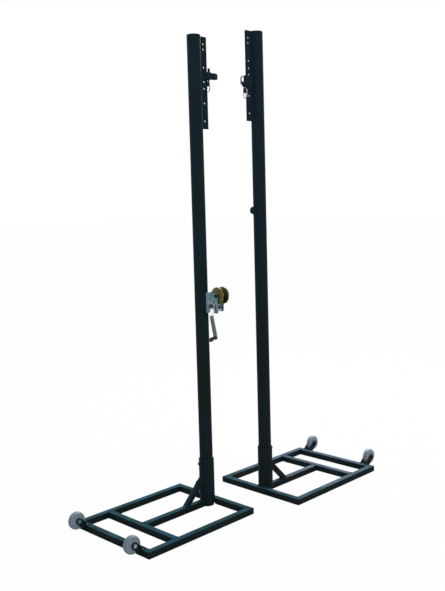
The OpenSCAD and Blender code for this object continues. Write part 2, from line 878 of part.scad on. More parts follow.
// Four mounting bolts, the pawl's pivot pin and the spacer at the frame's lower front corner
module winch_frame_bolts() {
    pin_len = winch_t + 8;
    washer = 1.5;
    for (side = [-1, 1], up = [winch_low + mount_rise, winch_top - mount_rise])
        translate([side * mount_x, -winch_back - winch_t, up])
            rotate([-90, 0, 0])
                bolt_and_nut(mount_d, winch_t + bracket_t);
    translate([-plate_in, pawl_y, pawl_z])
        rotate([0, -90, 0]) {
            cylinder(d = pawl_pin_d, h = pin_len);
            translate([0, 0, pin_len - 1]) cylinder(d = pawl_pin_d + 4, h = 2);
        }
    on_spacer() {
        cylinder(d = spacer_d, h = 2 * plate_in, center = true);
        cylinder(d = spacer_bolt_d, h = winch_w + 1, center = true);
        for (side = [-1, 1])
            translate([0, 0, side * (plate_x + washer / 2)])
                cylinder(d = spacer_d - 1, h = washer, center = true);
    }
}

module drum_axle_bolt() {
    on_drum_axle(-plate_x) bolt_and_nut(drum_bolt_d, winch_w);
}

// Rope drum: near flange, core and end boss
module drum() {
    near = -plate_in + side_play;
    on_drum_axle(0)
        difference() {
            union() {
                translate([0, 0, near]) cylinder(d = drum_bolt_d + 10, h = flange_x - near + 0.5);
                translate([0, 0, flange_x]) cylinder(r = flange_r, h = flange_t, $fn = 96);
                translate([0, 0, flange_x + 0.5]) cylinder(d = core_d, h = gear_x - flange_x - 0.5);
            }
            translate([0, 0, -plate_x]) cylinder(r = drum_bolt_d / 2 + run_play, h = winch_w);
        }
}

module drum_gear() {
    boss = plate_in - side_play - gear_x - gear_w;
    on_drum_axle(0)
        difference() {
            union() {
                translate([0, 0, gear_x])
                    linear_extrude(gear_w)
                        polygon(polar(gear_outline(gear_teeth, gear_m, mesh_dir, gear_backlash)));
                translate([0, 0, gear_x + gear_w - 0.5]) cylinder(d = drum_bolt_d + 10, h = boss + 0.5);
            }
            translate([0, 0, -plate_x]) cylinder(r = drum_bolt_d / 2 + run_play, h = winch_w);
        }
}

module pinion_shaft() {
    on_crank_shaft(0) {
        translate([0, 0, hub_out - shaft_end])
            cylinder(d = crank_shaft_d, h = plate_x + shaft_past - hub_out + shaft_end);
        translate([0, 0, gear_x - 1])
            linear_extrude(gear_w + 2)
                polygon(polar(gear_outline(pinion_teeth, gear_m, mesh_dir + 180 + 180 / pinion_teeth,
                    gear_backlash)));
        translate([0, 0, plate_x + 1]) cylinder(d = crank_shaft_d + 8, h = collar_t);
    }
}

// Saw-toothed wheel that the pawl holds
module ratchet_wheel() {
    step = 360 / ratchet_teeth;
    on_crank_shaft(ratchet_x - ratchet_t)
        linear_extrude(ratchet_t)
            difference() {
                polygon([for (t = [0:ratchet_teeth - 1])
                    let (a = t * step + ratchet_turn)
                    each [ratchet_root * [cos(a - ratchet_rake), sin(a - ratchet_rake)],
                        ratchet_r * [cos(a), sin(a)]]]);
                circle(d = crank_shaft_d);
            }
}

// Pawl on its pin, lifted clear of the ratchet
module ratchet_pawl() {
    tip = pawl_arm - 1.5;
    dir = pawl_pivot_dir + 180 - atan(ratchet_r / pawl_arm) - pawl_lift;
    translate([ratchet_x - ratchet_t, pawl_y, pawl_z])
        rotate([90, 0, 90])
            rotate([0, 0, dir])
                difference() {
                    union() {
                        cylinder(r = pawl_eye_r, h = ratchet_t);
                        linear_extrude(ratchet_t)
                            polygon([[0, -pawl_eye_r], [tip - 7, -2.6], [tip, 1.2], [tip - 1.2, 3.2],
                                [tip - 6, 2.2], [0, pawl_eye_r], [-11, 5], [-12.5, 0], [-5, -4]]);
                    }
                    translate([0, 0, -cut]) cylinder(r = pawl_pin_d / 2 + run_play, h = ratchet_t + 2 * cut);
                }
}

// Places a drawing whose Z axis is the grip's axis, pointing away from the arm's end
module on_grip_axis() {
    translate([0, pinion_y, pinion_z])
        rotate([-crank_tilt, 0, 0])
            translate([crank_out, 0, -crank_len])
                rotate([0, -90 - grip_droop, 0])
                    children();
}

// Side view of the flat arm in XZ: beside the ratchet at the hub, stepped out, then straight down
function crank_side() =
    let (slope = atan(crank_step / (bend_low - bend_top)), drop = crank_t * tan(slope / 2)) [
    [hub_x, 0],
    [hub_x, -bend_top - drop],
    [crank_out + crank_t, -bend_low - drop],
    [crank_out + crank_t, -crank_len],
    [crank_out, -crank_len],
    [crank_out, -bend_low],
    [hub_out, -bend_top],
    [hub_out, 0]
];

// Stepped flat crank arm with its hub and the pin that the grip turns on
module crank_arm() {
    difference() {
        union() {
            translate([0, pinion_y, pinion_z])
                rotate([-crank_tilt, 0, 0]) {
                    translate([hub_out, 0, 0]) rotate([0, 90, 0]) cylinder(r = hub_r, h = crank_t);
                    translate([0, crank_w / 2, 0])
                        rotate([90, 0, 0])
                            linear_extrude(crank_w)
                                polygon(crank_side());
                    translate([crank_out, 0, -crank_len])
                        rotate([0, 90, 0])
                            cylinder(d = crank_w + 1, h = crank_t);
                }
            on_grip_axis() {
                translate([0, 0, -crank_t / 2]) cylinder(d = grip_pin_d, h = grip_len + crank_t / 2 + 5);
                translate([0, 0, grip_len + 2]) cylinder(d = grip_pin_d + 4, h = 1.5);
            }
        }
        on_crank_shaft(hub_out - cut) cylinder(d = crank_shaft_d, h = crank_t + 2 * cut);
    }
}

module crank_nut() {
    on_crank_shaft(hub_out - nut_len - nut_washer)
        difference() {
            union() {
                hexagon(nut_flats, nut_len + nut_washer / 2);
                translate([0, 0, nut_len]) cylinder(d = nut_flats + 3, h = nut_washer);
            }
            translate([0, 0, nut_len + nut_washer - shaft_end]) cylinder(d = crank_shaft_d, h = nut_washer);
        }
}

// Barrel-shaped grip that turns on the crank's pin
module crank_grip() {
    bore = grip_pin_d / 2 + run_play;
    near = crank_t / 2 + 0.2;
    end = grip_len + 1.5;
    slim = 8.2;
    full = 11;
    on_grip_axis()
        rotate_extrude()
            polygon([[bore, near], [slim - 0.2, near], [slim + 0.8, near + 2.5], [slim, near + 5.8],
                [9.8, end * 0.45], [full, end * 0.75], [full, end - 5], [full - 2, end], [bore, end]]);
}

// ---------- tie lug ----------

// D-shaped plate on the net side of the hook post's pole
module tie_lug() {
    r = 22;
    heel = 6;
    difference() {
        translate([0, lug_t / 2, lug_z])
            rotate([90, 0, 0])
                linear_extrude(lug_t)
                    polygon([
                        [pole_d / 2 - weld_sink, -r - heel],
                        for (a = [-35:15:85]) [lug_reach - r + r * cos(a), r * sin(a)],
                        [pole_d / 2 - weld_sink, r]]);
        translate([0, 0, lug_z - 2 * r]) cylinder(d = pole_d, h = 4 * r);
    }
}

// ---------- nodes ----------

at_winch_post() color(PAINT) side_rails();  // winch_base_side_rails
at_winch_post() color(PAINT) wheel_rail();  // winch_base_wheel_rail
at_winch_post() color(PAINT) pole_rail();  // winch_base_pole_rail
at_winch_post() color(PAINT) cross_rail();  // winch_base_cross_rail
at_winch_post() color(PAINT) spine();  // winch_base_spine
at_winch_post() color(PAINT) sleeve();  // winch_base_sleeve
at_winch_post() color(PAINT) brace(true);  // winch_base_brace
at_winch_post() color(PAINT) wheel_forks();  // winch_base_wheel_forks
at_winch_post() color(ZINC) axle_bolts();  // winch_base_axle_bolts
at_winch_post() color(ZINC) clamp_bolt();  // winch_base_clamp_bolt
at_winch_post() color(NYLON) wheel(1);  // winch_post_wheel_left
at_winch_post() color(NYLON) wheel(-1);  // winch_post_wheel_right
at_winch_post() color(ZINC) bush(1);  // winch_post_bush_left
at_winch_post() color(ZINC) bush(-1);  // winch_post_bush_right

at_hook_post() color(PAINT) side_rails();  // hook_base_side_rails
at_hook_post() color(PAINT) wheel_rail();  // hook_base_wheel_rail
at_hook_post() color(PAINT) pole_rail();  // hook_base_pole_rail
at_hook_post() color(PAINT) cross_rail();  // hook_base_cross_rail
at_hook_post() color(PAINT) spine();  // hook_base_spine
at_hook_post() color(PAINT) sleeve();  // hook_base_sleeve
at_hook_post() color(PAINT) brace(false);  // hook_base_brace
at_hook_post() color(PAINT) wheel_forks();  // hook_base_wheel_forks
at_hook_post() color(ZINC) axle_bolts();  // hook_base_axle_bolts
at_hook_post() color(ZINC) clamp_bolt();  // hook_base_clamp_bolt
at_hook_post() color(NYLON) wheel(1);  // hook_post_wheel_left
at_hook_post() color(NYLON) wheel(-1);  // hook_post_wheel_right
at_hook_post() color(ZINC) bush(1);  // hook_post_bush_left
at_hook_post() color(ZINC) bush(-1);  // hook_post_bush_right

at_winch_post() color(PAINT) pole_tube();  // winch_pole_tube
at_winch_post() color(BLACK) pole_cap();  // winch_pole_cap
at_winch_post() color(PAINT) height_bar();  // winch_pole_height_bar
at_winch_post() color(PAINT) winch_bracket();
at_winch_post() color(ZINC) winch_frame();
at_winch_post() color(ZINC) winch_frame_bolts();
at_winch_post() color(ZINC) drum_axle_bolt();
at_winch_post() color(YELLOW_ZINC) drum();
at_winch_post() color(YELLOW_ZINC) drum_gear();
at_winch_post() color(ZINC) pinion_shaft();
at_winch_post() color(ZINC) ratchet_wheel();
at_winch_post() color(ZINC) ratchet_pawl();
at_winch_post() color(ZINC) crank_arm();
at_winch_post() color(ZINC) crank_nut();
at_winch_post() color(BLACK) crank_grip();
at_winch_post() color(PAINT) winch_carriage();
at_winch_post() color(ZINC) lock_pin(winch_carriage_z);  // winch_carriage_lock_pin
at_winch_post() color(BLACK) rope_sheave();
at_winch_post() color(ZINC) rope_sheave_bolt();
at_winch_post() color(SNAP_STEEL) snap_hook(winch_carriage_z - cheek_down);  // winch_snap_hook
at_winch_post() color(SNAP_STEEL) snap_gate(winch_carriage_z - cheek_down);  // winch_snap_gate

at_hook_post() raised() color(PAINT) pole_tube();  // hook_pole_tube
at_hook_post() raised() color(BLACK) pole_cap();  // hook_pole_cap
at_hook_post() raised() color(PAINT) height_bar();  // hook_pole_height_bar
at_hook_post() raised() color(PAINT) tie_lug();
at_hook_post() raised() color(PAINT) back_to_front() hook_carriage();
at_hook_post() raised() color(ZINC) back_to_front() lock_pin(hook_carriage_z);  // hook_carriage_lock_pin
at_hook_post() raised() color(PAINT) net_hook();
at_hook_post() raised() color(SNAP_STEEL) snap_hook(hook_carriage_z - hook_cheek_down);  // hook_snap_hook
at_hook_post() raised() color(SNAP_STEEL) snap_gate(hook_carriage_z - hook_cheek_down);  // hook_snap_gate
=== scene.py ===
"""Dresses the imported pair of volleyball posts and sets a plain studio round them."""

import json
import math

import bmesh
import bpy
from mathutils import Matrix, Vector


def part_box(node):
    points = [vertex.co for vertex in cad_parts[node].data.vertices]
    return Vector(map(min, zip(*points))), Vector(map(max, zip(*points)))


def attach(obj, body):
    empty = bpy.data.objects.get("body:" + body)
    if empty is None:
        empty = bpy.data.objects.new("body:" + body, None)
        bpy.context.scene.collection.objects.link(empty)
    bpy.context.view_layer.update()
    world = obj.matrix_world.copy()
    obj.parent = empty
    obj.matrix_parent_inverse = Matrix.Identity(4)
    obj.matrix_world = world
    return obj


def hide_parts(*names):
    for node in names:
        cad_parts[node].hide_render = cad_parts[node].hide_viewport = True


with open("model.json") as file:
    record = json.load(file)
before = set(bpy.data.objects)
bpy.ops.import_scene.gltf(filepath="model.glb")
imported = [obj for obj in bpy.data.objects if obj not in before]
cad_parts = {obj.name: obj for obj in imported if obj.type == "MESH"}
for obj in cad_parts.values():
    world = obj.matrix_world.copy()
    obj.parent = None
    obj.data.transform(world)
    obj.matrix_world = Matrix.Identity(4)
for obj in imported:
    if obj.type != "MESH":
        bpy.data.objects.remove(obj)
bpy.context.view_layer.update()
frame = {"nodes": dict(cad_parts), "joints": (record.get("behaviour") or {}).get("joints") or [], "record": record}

bl_info = {
    "name": "Volleyball Post Dressing",
    "version": (1, 0, 0),
    "blender": (4, 5, 0),
    "location": "View3D > Sidebar > Posts",
    "description": "Finishes, forks, wheels, welds and a studio for two wheeled volleyball posts",
    "category": "Object",
}

MM = 0.001
NODES = frame["nodes"]
JOINTS = {joint["name"]: joint for joint in frame["joints"]}
SLOT_OF = {part["node"]: part["material_slot"] for part in frame["record"]["subparts"]}


# ---------------------------------------------------------------- sizes read from the frame

def size_of(node):
    low, high = (Vector(corner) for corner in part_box(node))
    return high - low


def middle_of(node):
    low, high = (Vector(corner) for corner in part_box(node))
    return (low + high) / 2


class Post:
    """One post, measured about its pole axis with the net on its +X side, before it is placed."""

    def __init__(self, name, toward_net):
        self.name = name
        self.toward_net = toward_net
        axis = middle_of(f"{name}_pole_tube")
        self.axis = Vector((axis.x, axis.y, 0.0))
        self.tube = size_of(f"{name}_base_wheel_rail").z
        self.half_width = size_of(f"{name}_base_wheel_rail").y / 2
        self.pole_r = size_of(f"{name}_pole_tube").x / 2
        self.sleeve_r = size_of(f"{name}_base_sleeve").y / 2
        self.net_edge, self.wheel_edge = self.local_x(f"{name}_base_side_rails")
        self.cross_x = self.local_x(f"{name}_base_cross_rail")[1]
        self.brace_end = self.local_x(f"{name}_base_brace")[1]
        self.brace_tube = size_of(f"{name}_base_brace").y
        self.wheel_y = abs(middle_of(f"{name}_post_wheel_left").y - axis.y)
        self.fork_out = self.fork_edge() - self.wheel_y
        self.bar_half = size_of(f"{name}_pole_height_bar").y / 2
        self.bar_low, self.bar_high = (corner[2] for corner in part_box(f"{name}_pole_height_bar"))

    def local_x(self, node):
        """(net side, wheel side) of a node along X from the pole axis, positive towards the net."""
        ends = [(corner[0] - self.axis.x) * self.toward_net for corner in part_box(node)]
        return max(ends), min(ends)

    def fork_edge(self):
        """How far the forks reach sideways from the pole axis."""
        low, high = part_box(f"{self.name}_base_wheel_forks")
        return max(high[1] - self.axis.y, self.axis.y - low[1])

    def place(self, point):
        """A point about the pole axis, turned and moved to where the post stands."""
        x, y, z = point
        return self.axis + Vector((self.toward_net * x, self.toward_net * y, z))


POSTS = [Post("winch", 1), Post("hook", -1)]


# ---------------------------------------------------------------- settings a user would change

class PaintSettings(bpy.types.PropertyGroup):
    """Look of the powder-coated steel."""

    # The deep colour shows higher up and the tint lower down, so the coat is bluer higher up as a painted sky
    # reflection.
    deep: bpy.props.FloatVectorProperty(
        name="Deep colour", description="Colour of the powder coat", subtype="COLOR",
        size=3, min=0, max=1, default=(0.0165, 0.0360, 0.0490))
    tint: bpy.props.FloatVectorProperty(
        name="Tint", description="Greener colour that drifts through the powder coat",
        subtype="COLOR", size=3, min=0, max=1, default=(0.0150, 0.0240, 0.0245))
    # The dust, moss and haze colours make upper faces paler than the coat: partly real dust, partly a painted sky
    # sheen on the tops.
    dust_and_sheen: bpy.props.FloatVectorProperty(
        name="Dust", description="Colour of the thin dust on faces that look up",
        subtype="COLOR", size=3, min=0, max=1, default=(0.020, 0.105, 0.165))
    moss_and_sheen: bpy.props.FloatVectorProperty(
        name="Moss", description="Greener colour where grass has rubbed the upper faces",
        subtype="COLOR", size=3, min=0, max=1, default=(0.006, 0.062, 0.052))
    haze_and_sheen: bpy.props.FloatVectorProperty(
        name="Haze", description="Greyer, bluer dust on the upper faces of the hook post's frame",
        subtype="COLOR", size=3, min=0, max=1, default=(0.145, 0.200, 0.275))
    dust_and_sheen_amount: bpy.props.FloatProperty(
        name="Dust amount", description="How much dust lies on faces that look up",
        min=0, max=1, default=0.85)
    roughness: bpy.props.FloatProperty(
        name="Roughness", description="Roughness of the powder coat",
        min=0.05, max=1, default=0.42)
    shine: bpy.props.FloatProperty(
        name="Shine", description="Specular level of the powder coat",
        min=0, max=1, default=0.035)
    peel: bpy.props.FloatProperty(
        name="Orange peel", description="Size of the powder coat's ripples", subtype="DISTANCE",
        unit="LENGTH", min=0.0002, max=0.01, default=0.0016)


class PlatingSettings(bpy.types.PropertyGroup):
    """Look of the plated steel."""

    zinc: bpy.props.FloatVectorProperty(
        name="Bright zinc", description="Colour of bolts, pins and bushes", subtype="COLOR",
        size=3, min=0, max=1, default=(0.56, 0.59, 0.62))
    plate: bpy.props.FloatVectorProperty(
        name="Winch plate", description="Blue-grey zinc of the winch frame", subtype="COLOR",
        size=3, min=0, max=1, default=(0.20, 0.34, 0.40))
    dark: bpy.props.FloatVectorProperty(
        name="Blackened steel", description="Colour of the dark bolts and nuts and of the net hook",
        subtype="COLOR", size=3, min=0, max=1, default=(0.035, 0.055, 0.062))
    # The nut's dark brownish grey is darkened in part as painted shade.
    nut: bpy.props.FloatVectorProperty(
        name="Crank nut", description="Brownish grey of the crank's worn nut", subtype="COLOR",
        size=3, min=0, max=1, default=(0.090, 0.070, 0.065))
    crank: bpy.props.FloatVectorProperty(
        name="Crank steel", description="Grey steel of the crank arm", subtype="COLOR",
        size=3, min=0, max=1, default=(0.20, 0.25, 0.27))
    gold: bpy.props.FloatVectorProperty(
        name="Yellow zinc", description="Olive gold of the drum and its gear", subtype="COLOR",
        size=3, min=0, max=1, default=(0.22, 0.19, 0.065))
    rose: bpy.props.FloatVectorProperty(
        name="Passivation", description="Reddish colour that the yellow zinc drifts to",
        subtype="COLOR", size=3, min=0, max=1, default=(0.17, 0.085, 0.065))
    wire: bpy.props.FloatVectorProperty(
        name="Snap wire", description="Bluish steel of the snap hooks", subtype="COLOR",
        size=3, min=0, max=1, default=(0.45, 0.45, 0.54))
    spangle: bpy.props.FloatProperty(
        name="Spangle", description="Size of the zinc's crystals", subtype="DISTANCE",
        unit="LENGTH", min=0.0005, max=0.05, default=0.007)


class PlasticSettings(bpy.types.PropertyGroup):
    """Look of the wheels and of the black mouldings."""

    nylon: bpy.props.FloatVectorProperty(
        name="Nylon", description="Colour of the cast nylon wheels", subtype="COLOR",
        size=3, min=0, max=1, default=(0.370, 0.445, 0.515))
    # Colour of the treads, darker and greyer than the faces.
    tread: bpy.props.FloatVectorProperty(
        name="Tread", description="Greyer colour that the nylon has worn to on the treads",
        subtype="COLOR", size=3, min=0, max=1, default=(0.260, 0.310, 0.350))
    grime: bpy.props.FloatVectorProperty(
        name="Grime", description="Colour of the floor dirt on the treads", subtype="COLOR",
        size=3, min=0, max=1, default=(0.15, 0.17, 0.15))
    black: bpy.props.FloatVectorProperty(
        name="Black", description="Colour of the grip, the caps and the sheave", subtype="COLOR",
        size=3, min=0, max=1, default=(0.012, 0.012, 0.013))


class WeldSettings(bpy.types.PropertyGroup):
    """Sizes of the weld beads."""

    bead: bpy.props.FloatProperty(
        name="Bead radius", description="Radius of a weld bead", subtype="DISTANCE",
        unit="LENGTH", min=0.0005, max=0.006, default=0.0021)
    ripple: bpy.props.FloatProperty(
        name="Ripple pitch", description="Distance between two ripples of a bead",
        subtype="DISTANCE", unit="LENGTH", min=0.0008, max=0.006, default=0.0024)
    slope: bpy.props.FloatProperty(
        name="Brace slope", description="Slope of the braces", subtype="ANGLE",
        min=0.5, max=1.2, default=math.radians(45))


class StageSettings(bpy.types.PropertyGroup):
    """Camera, lamps and floor."""

    lens: bpy.props.FloatProperty(
        name="Lens", description="Focal length on a 36 mm sensor", unit="CAMERA",
        min=10, max=300, default=48.593)
    eye: bpy.props.FloatVectorProperty(
        name="Camera place", description="Where the camera stands", subtype="TRANSLATION",
        unit="LENGTH", size=3, default=(-3.1694, -3.0465, 1.6782))
    heading: bpy.props.FloatProperty(
        name="Heading", description="Direction of view from +X", subtype="ANGLE",
        default=math.radians(44.561))
    dip: bpy.props.FloatProperty(
        name="Dip", description="How far the camera looks down", subtype="ANGLE",
        default=math.radians(6.698))
    roll: bpy.props.FloatProperty(
        name="Roll", description="Roll of the camera", subtype="ANGLE",
        default=math.radians(-1.566))
    world: bpy.props.FloatProperty(
        name="Room light", description="Strength of the even light from all round",
        min=0, max=5, default=0.42)
    sky: bpy.props.FloatVectorProperty(
        name="Room colour", description="Colour of the even light from all round", subtype="COLOR",
        size=3, min=0, max=1, default=(0.80, 0.90, 1.0))
    key: bpy.props.FloatProperty(
        name="Key", description="Power of the large lamp above the far right", unit="POWER",
        min=0, max=5000, default=300)
    fill: bpy.props.FloatProperty(
        name="Fill", description="Power of the large lamp behind the camera", unit="POWER",
        min=0, max=5000, default=30)
    floor: bpy.props.FloatProperty(
        name="Floor paleness", description="Reflectance of the floor",
        min=0, max=1, default=0.50)
    wash: bpy.props.FloatProperty(
        name="Floor wash", description="How far the camera sees the floor as plain white",
        min=0, max=1, default=0.985)


SETTINGS = {
    "post_paint": PaintSettings,
    "post_plating": PlatingSettings,
    "post_plastic": PlasticSettings,
    "post_welds": WeldSettings,
    "post_stage": StageSettings,
}


# ---------------------------------------------------------------- material building

class NodeTree:
    """Short calls that build on a material's or a world's nodes."""

    def __init__(self, owner):
        owner.use_nodes = True
        self.tree = owner.node_tree

    def add(self, kind, **values):
        node = self.tree.nodes.new(kind)
        for key, value in values.items():
            setattr(node, key, value)
        return node

    def feed(self, socket, value):
        """Links an output to a socket, or sets the socket to a plain value."""
        if isinstance(value, bpy.types.NodeSocket):
            self.tree.links.new(value, socket)
        else:
            socket.default_value = value

    def maths(self, operation, first, second=0.0):
        node = self.add("ShaderNodeMath", operation=operation)
        self.feed(node.inputs[0], first)
        self.feed(node.inputs[1], second)
        return node.outputs["Value"]

    def grey(self, value):
        """The colour whose three channels are all value."""
        node = self.add("ShaderNodeCombineColor")
        for channel in ("Red", "Green", "Blue"):
            self.feed(node.inputs[channel], value)
        return node.outputs["Color"]

    def mixed_shader(self, share, first, second):
        node = self.add("ShaderNodeMixShader")
        self.feed(node.inputs["Fac"], share)
        self.feed(node.inputs[1], first)
        self.feed(node.inputs[2], second)
        return node.outputs["Shader"]


class Surface(NodeTree):
    """A new node material with one Principled shader."""

    def __init__(self, name):
        self.material = bpy.data.materials.new(name)
        super().__init__(self.material)
        self.shader = self.tree.nodes["Principled BSDF"]
        self.place = self.add("ShaderNodeTexCoord").outputs["Object"]

    def stretched(self, x, y, z):
        """Object coordinates scaled by x, y and z."""
        node = self.add("ShaderNodeMapping")
        self.feed(node.inputs["Vector"], self.place)
        node.inputs["Scale"].default_value = (x, y, z)
        return node.outputs["Vector"]

    def noise(self, size, detail=3.0, vector=None, roughness=0.55):
        """Noise whose blotches are about size metres across."""
        node = self.add("ShaderNodeTexNoise")
        self.feed(node.inputs["Vector"], vector or self.place)
        node.inputs["Scale"].default_value = 1.0 / size
        node.inputs["Detail"].default_value = detail
        node.inputs["Roughness"].default_value = roughness
        return node.outputs["Fac"]

    def cells(self, size):
        """Random grey for each crystal of about size metres."""
        node = self.add("ShaderNodeTexVoronoi", feature="F1")
        self.feed(node.inputs["Vector"], self.place)
        node.inputs["Scale"].default_value = 1.0 / size
        grey = self.add("ShaderNodeSeparateColor")
        self.feed(grey.inputs["Color"], node.outputs["Color"])
        return grey.outputs["Red"]

    def span(self, value, low, high, to_low=0.0, to_high=1.0):
        """Maps value from [low, high] to [to_low, to_high], held at both ends."""
        node = self.add("ShaderNodeMapRange")
        self.feed(node.inputs["Value"], value)
        ends = {"From Min": low, "From Max": high, "To Min": to_low, "To Max": to_high}
        for key, number in ends.items():
            node.inputs[key].default_value = number
        return node.outputs["Result"]

    def blend(self, share, first, second, mode="MIX"):
        """Mixes two colours."""
        node = self.add("ShaderNodeMix", data_type="RGBA", blend_type=mode)
        self.feed(node.inputs["Factor"], share)
        self.feed(node.inputs["A"], first)
        self.feed(node.inputs["B"], second)
        return node.outputs["Result"]

    def parts(self, vector):
        """The X, Y and Z of a vector."""
        split = self.add("ShaderNodeSeparateXYZ")
        self.feed(split.inputs["Vector"], vector)
        return split.outputs["X"], split.outputs["Y"], split.outputs["Z"]

    def normal(self):
        return self.parts(self.add("ShaderNodeNewGeometry").outputs["Normal"])

    def facing_up(self):
        """1 on faces that look straight up, 0 on upright and hanging ones."""
        return self.span(self.normal()[2], 0.55, 0.98)

    def away_from(self, place, axis):
        """Distance of each point from the line through place along the X, Y or Z axis."""
        offset = self.add("ShaderNodeVectorMath", operation="SUBTRACT")
        self.feed(offset.inputs[0], self.place)
        offset.inputs[1].default_value = place
        flat = self.add("ShaderNodeVectorMath", operation="MULTIPLY")
        self.feed(flat.inputs[0], offset.outputs["Vector"])
        flat.inputs[1].default_value = [0.0 if name == axis else 1.0 for name in "XYZ"]
        reach = self.add("ShaderNodeVectorMath", operation="LENGTH")
        self.feed(reach.inputs[0], flat.outputs["Vector"])
        return reach.outputs["Value"]

    def edges(self, radius):
        """1 along sharp edges, 0 elsewhere."""
        soft = self.add("ShaderNodeBevel", samples=4)
        soft.inputs["Radius"].default_value = radius
        dot = self.add("ShaderNodeVectorMath", operation="DOT_PRODUCT")
        self.feed(dot.inputs[0], soft.outputs["Normal"])
        self.feed(dot.inputs[1], self.add("ShaderNodeNewGeometry").outputs["Normal"])
        return self.span(dot.outputs["Value"], 0.995, 0.90)

    def bump(self, height, depth, strength=1.0, under=None):
        """Bump of a height field, depth metres deep, over an earlier bump."""
        node = self.add("ShaderNodeBump")
        node.inputs["Strength"].default_value = strength
        node.inputs["Distance"].default_value = depth
        self.feed(node.inputs["Height"], height)
        if under is not None:
            self.feed(node.inputs["Normal"], under)
        return node.outputs["Normal"]

    def set(self, **values):
        """Sets or links the shader's sockets, named with underscores for spaces."""
        for key, value in values.items():
            self.feed(self.shader.inputs[key.replace("_", " ")], value)
        return self.material


def rgba(colour, gain=1.0):
    return (*[channel * gain for channel in colour], 1.0)


SKY_SHEEN_FOOT, SKY_SHEEN_TOP = 0.7, 2.0        # heights between which the coat loses its tint: bluer higher up, a painted sky reflection
HAZE_START, HAZE_END = 0.05, 0.45       # places along X between which the upper faces' dust and painted sky sheen turn paler and bluer
HAZE_SHARE = 0.72                       # least share of the paler, bluer dust and sheen that shows over the greener one
HIGHLIGHT_FULL, HIGHLIGHT_END = 46 * MM, 56 * MM  # reach of the painted highlight round the crank's shaft


def powder_coat(look):
    """Satin near-black powder coat: orange peel, bluer higher up as a painted sky reflection, dust and moss on
    upper faces that are also a painted sky sheen, and worn edges that are also a painted edge highlight.
    """
    s = Surface("powder_coat")
    across, _, height = s.parts(s.place)
    # Painted sky reflection: bluer higher up, fading towards the foot; the noise adds a real random drift of tone.
    sky_sheen_fade = s.span(height, SKY_SHEEN_FOOT, SKY_SHEEN_TOP, 0.85, 0.15)
    drift_and_sky_sheen = s.maths("ADD", sky_sheen_fade, s.span(s.noise(0.35, 2.0), 0.35, 0.65, -0.25, 0.25))
    coat = s.blend(drift_and_sky_sheen, rgba(look.deep), rgba(look.tint))
    specks = s.span(s.noise(0.004, 4.0), 0.62, 0.72, 0.0, 0.10)
    coat = s.blend(specks, coat, rgba(look.dust_and_sheen, 0.5))
    # Upper faces get a film that is partly dust and partly a painted sky sheen: paler and bluer towards the hook
    # post, greener in patches.
    patchy = s.span(s.noise(0.09, 4.0), 0.25, 0.70, 0.55, 1.0)
    dust_and_sheen_mask = s.maths("MULTIPLY", s.maths("MULTIPLY", s.facing_up(), patchy), look.dust_and_sheen_amount)
    toward_hook = s.span(across, HAZE_START, HAZE_END)
    film = s.blend(toward_hook, rgba(look.dust_and_sheen), rgba(look.haze_and_sheen))
    moss_free = s.span(s.noise(0.16, 2.0), 0.38, 0.56)
    moss_free = s.maths("MAXIMUM", moss_free, s.maths("MULTIPLY", toward_hook, HAZE_SHARE))
    film = s.blend(moss_free, rgba(look.moss_and_sheen), film)
    coat = s.blend(dust_and_sheen_mask, coat, film)
    # Paler sharp edges, in patches: worn paint that is also a painted edge highlight.
    worn = s.maths("MULTIPLY", s.edges(0.0012), s.span(s.noise(0.02, 5.0), 0.48, 0.66, 0.05, 0.35))
    coat = s.blend(worn, coat, rgba(look.dust_and_sheen, 0.55))
    scuffs = s.span(s.noise(0.012, 3.0, s.stretched(1.0, 1.0, 0.06)), 0.58, 0.75)
    rough = s.span(s.noise(0.05, 4.0), 0.3, 0.7, look.roughness - 0.05, look.roughness + 0.08)
    dulled = s.maths("ADD", s.maths("MULTIPLY", scuffs, 0.10), s.maths("MULTIPLY", dust_and_sheen_mask, 0.30))
    rough = s.maths("ADD", rough, dulled)
    peel = s.bump(s.noise(look.peel, 2.0), 0.06 * MM, 0.6)
    dents = s.bump(s.noise(0.06, 2.0), 0.4 * MM, 0.25, peel)
    return s.set(Base_Color=coat, Roughness=rough, Specular_IOR_Level=look.shine, Normal=dents)


def zinc_plate(name, colour, size, roughness=0.34, spread=0.14, edge_light=0.5,
               edge=0.8 * MM, highlight_at=None):
    """Plated steel with faint crystals, fine brushing, and a painted highlight along its sharp edges.

    It is painted near-white round the given place, as a painted highlight, if one is given.
    """
    s = Surface(name)
    crystal = s.span(s.cells(size), 0.0, 1.0, 1.0 - spread, 1.0 + spread)
    cloud = s.span(s.noise(size * 6, 3.0), 0.3, 0.7, 1.0 - spread, 1.0 + spread)
    base = s.blend(1.0, rgba(colour), s.grey(s.maths("MULTIPLY", crystal, cloud)), "MULTIPLY")
    # Painted highlight: sharp edges are painted pale, standing in for the light that rounded edges catch.
    rubbed = s.maths("MULTIPLY", s.edges(edge), edge_light)
    base = s.blend(rubbed, base, rgba((0.80, 0.82, 0.84)))
    stain = s.span(s.noise(0.018, 5.0), 0.55, 0.75, 0.0, 0.35)
    base = s.blend(stain, base, rgba(colour, 0.45))
    brushed = s.noise(0.0012, 3.0, s.stretched(1.0, 1.0, 0.08))
    rough = s.maths("ADD", s.span(brushed, 0.3, 0.7, roughness - 0.07, roughness + 0.07),
                    s.maths("MULTIPLY", stain, 0.4))
    if highlight_at is not None:
        # Painted highlight: near-white round the crank's shaft, fading out between the two reaches.
        near = s.span(s.away_from(highlight_at, "X"), HIGHLIGHT_FULL, HIGHLIGHT_END, 1.0, 0.0)
        base = s.blend(near, base, rgba((0.90, 0.92, 0.95)))
    lines = s.bump(brushed, 0.02 * MM, 0.5)
    return s.set(Base_Color=base, Metallic=1.0, Roughness=rough, Normal=lines)


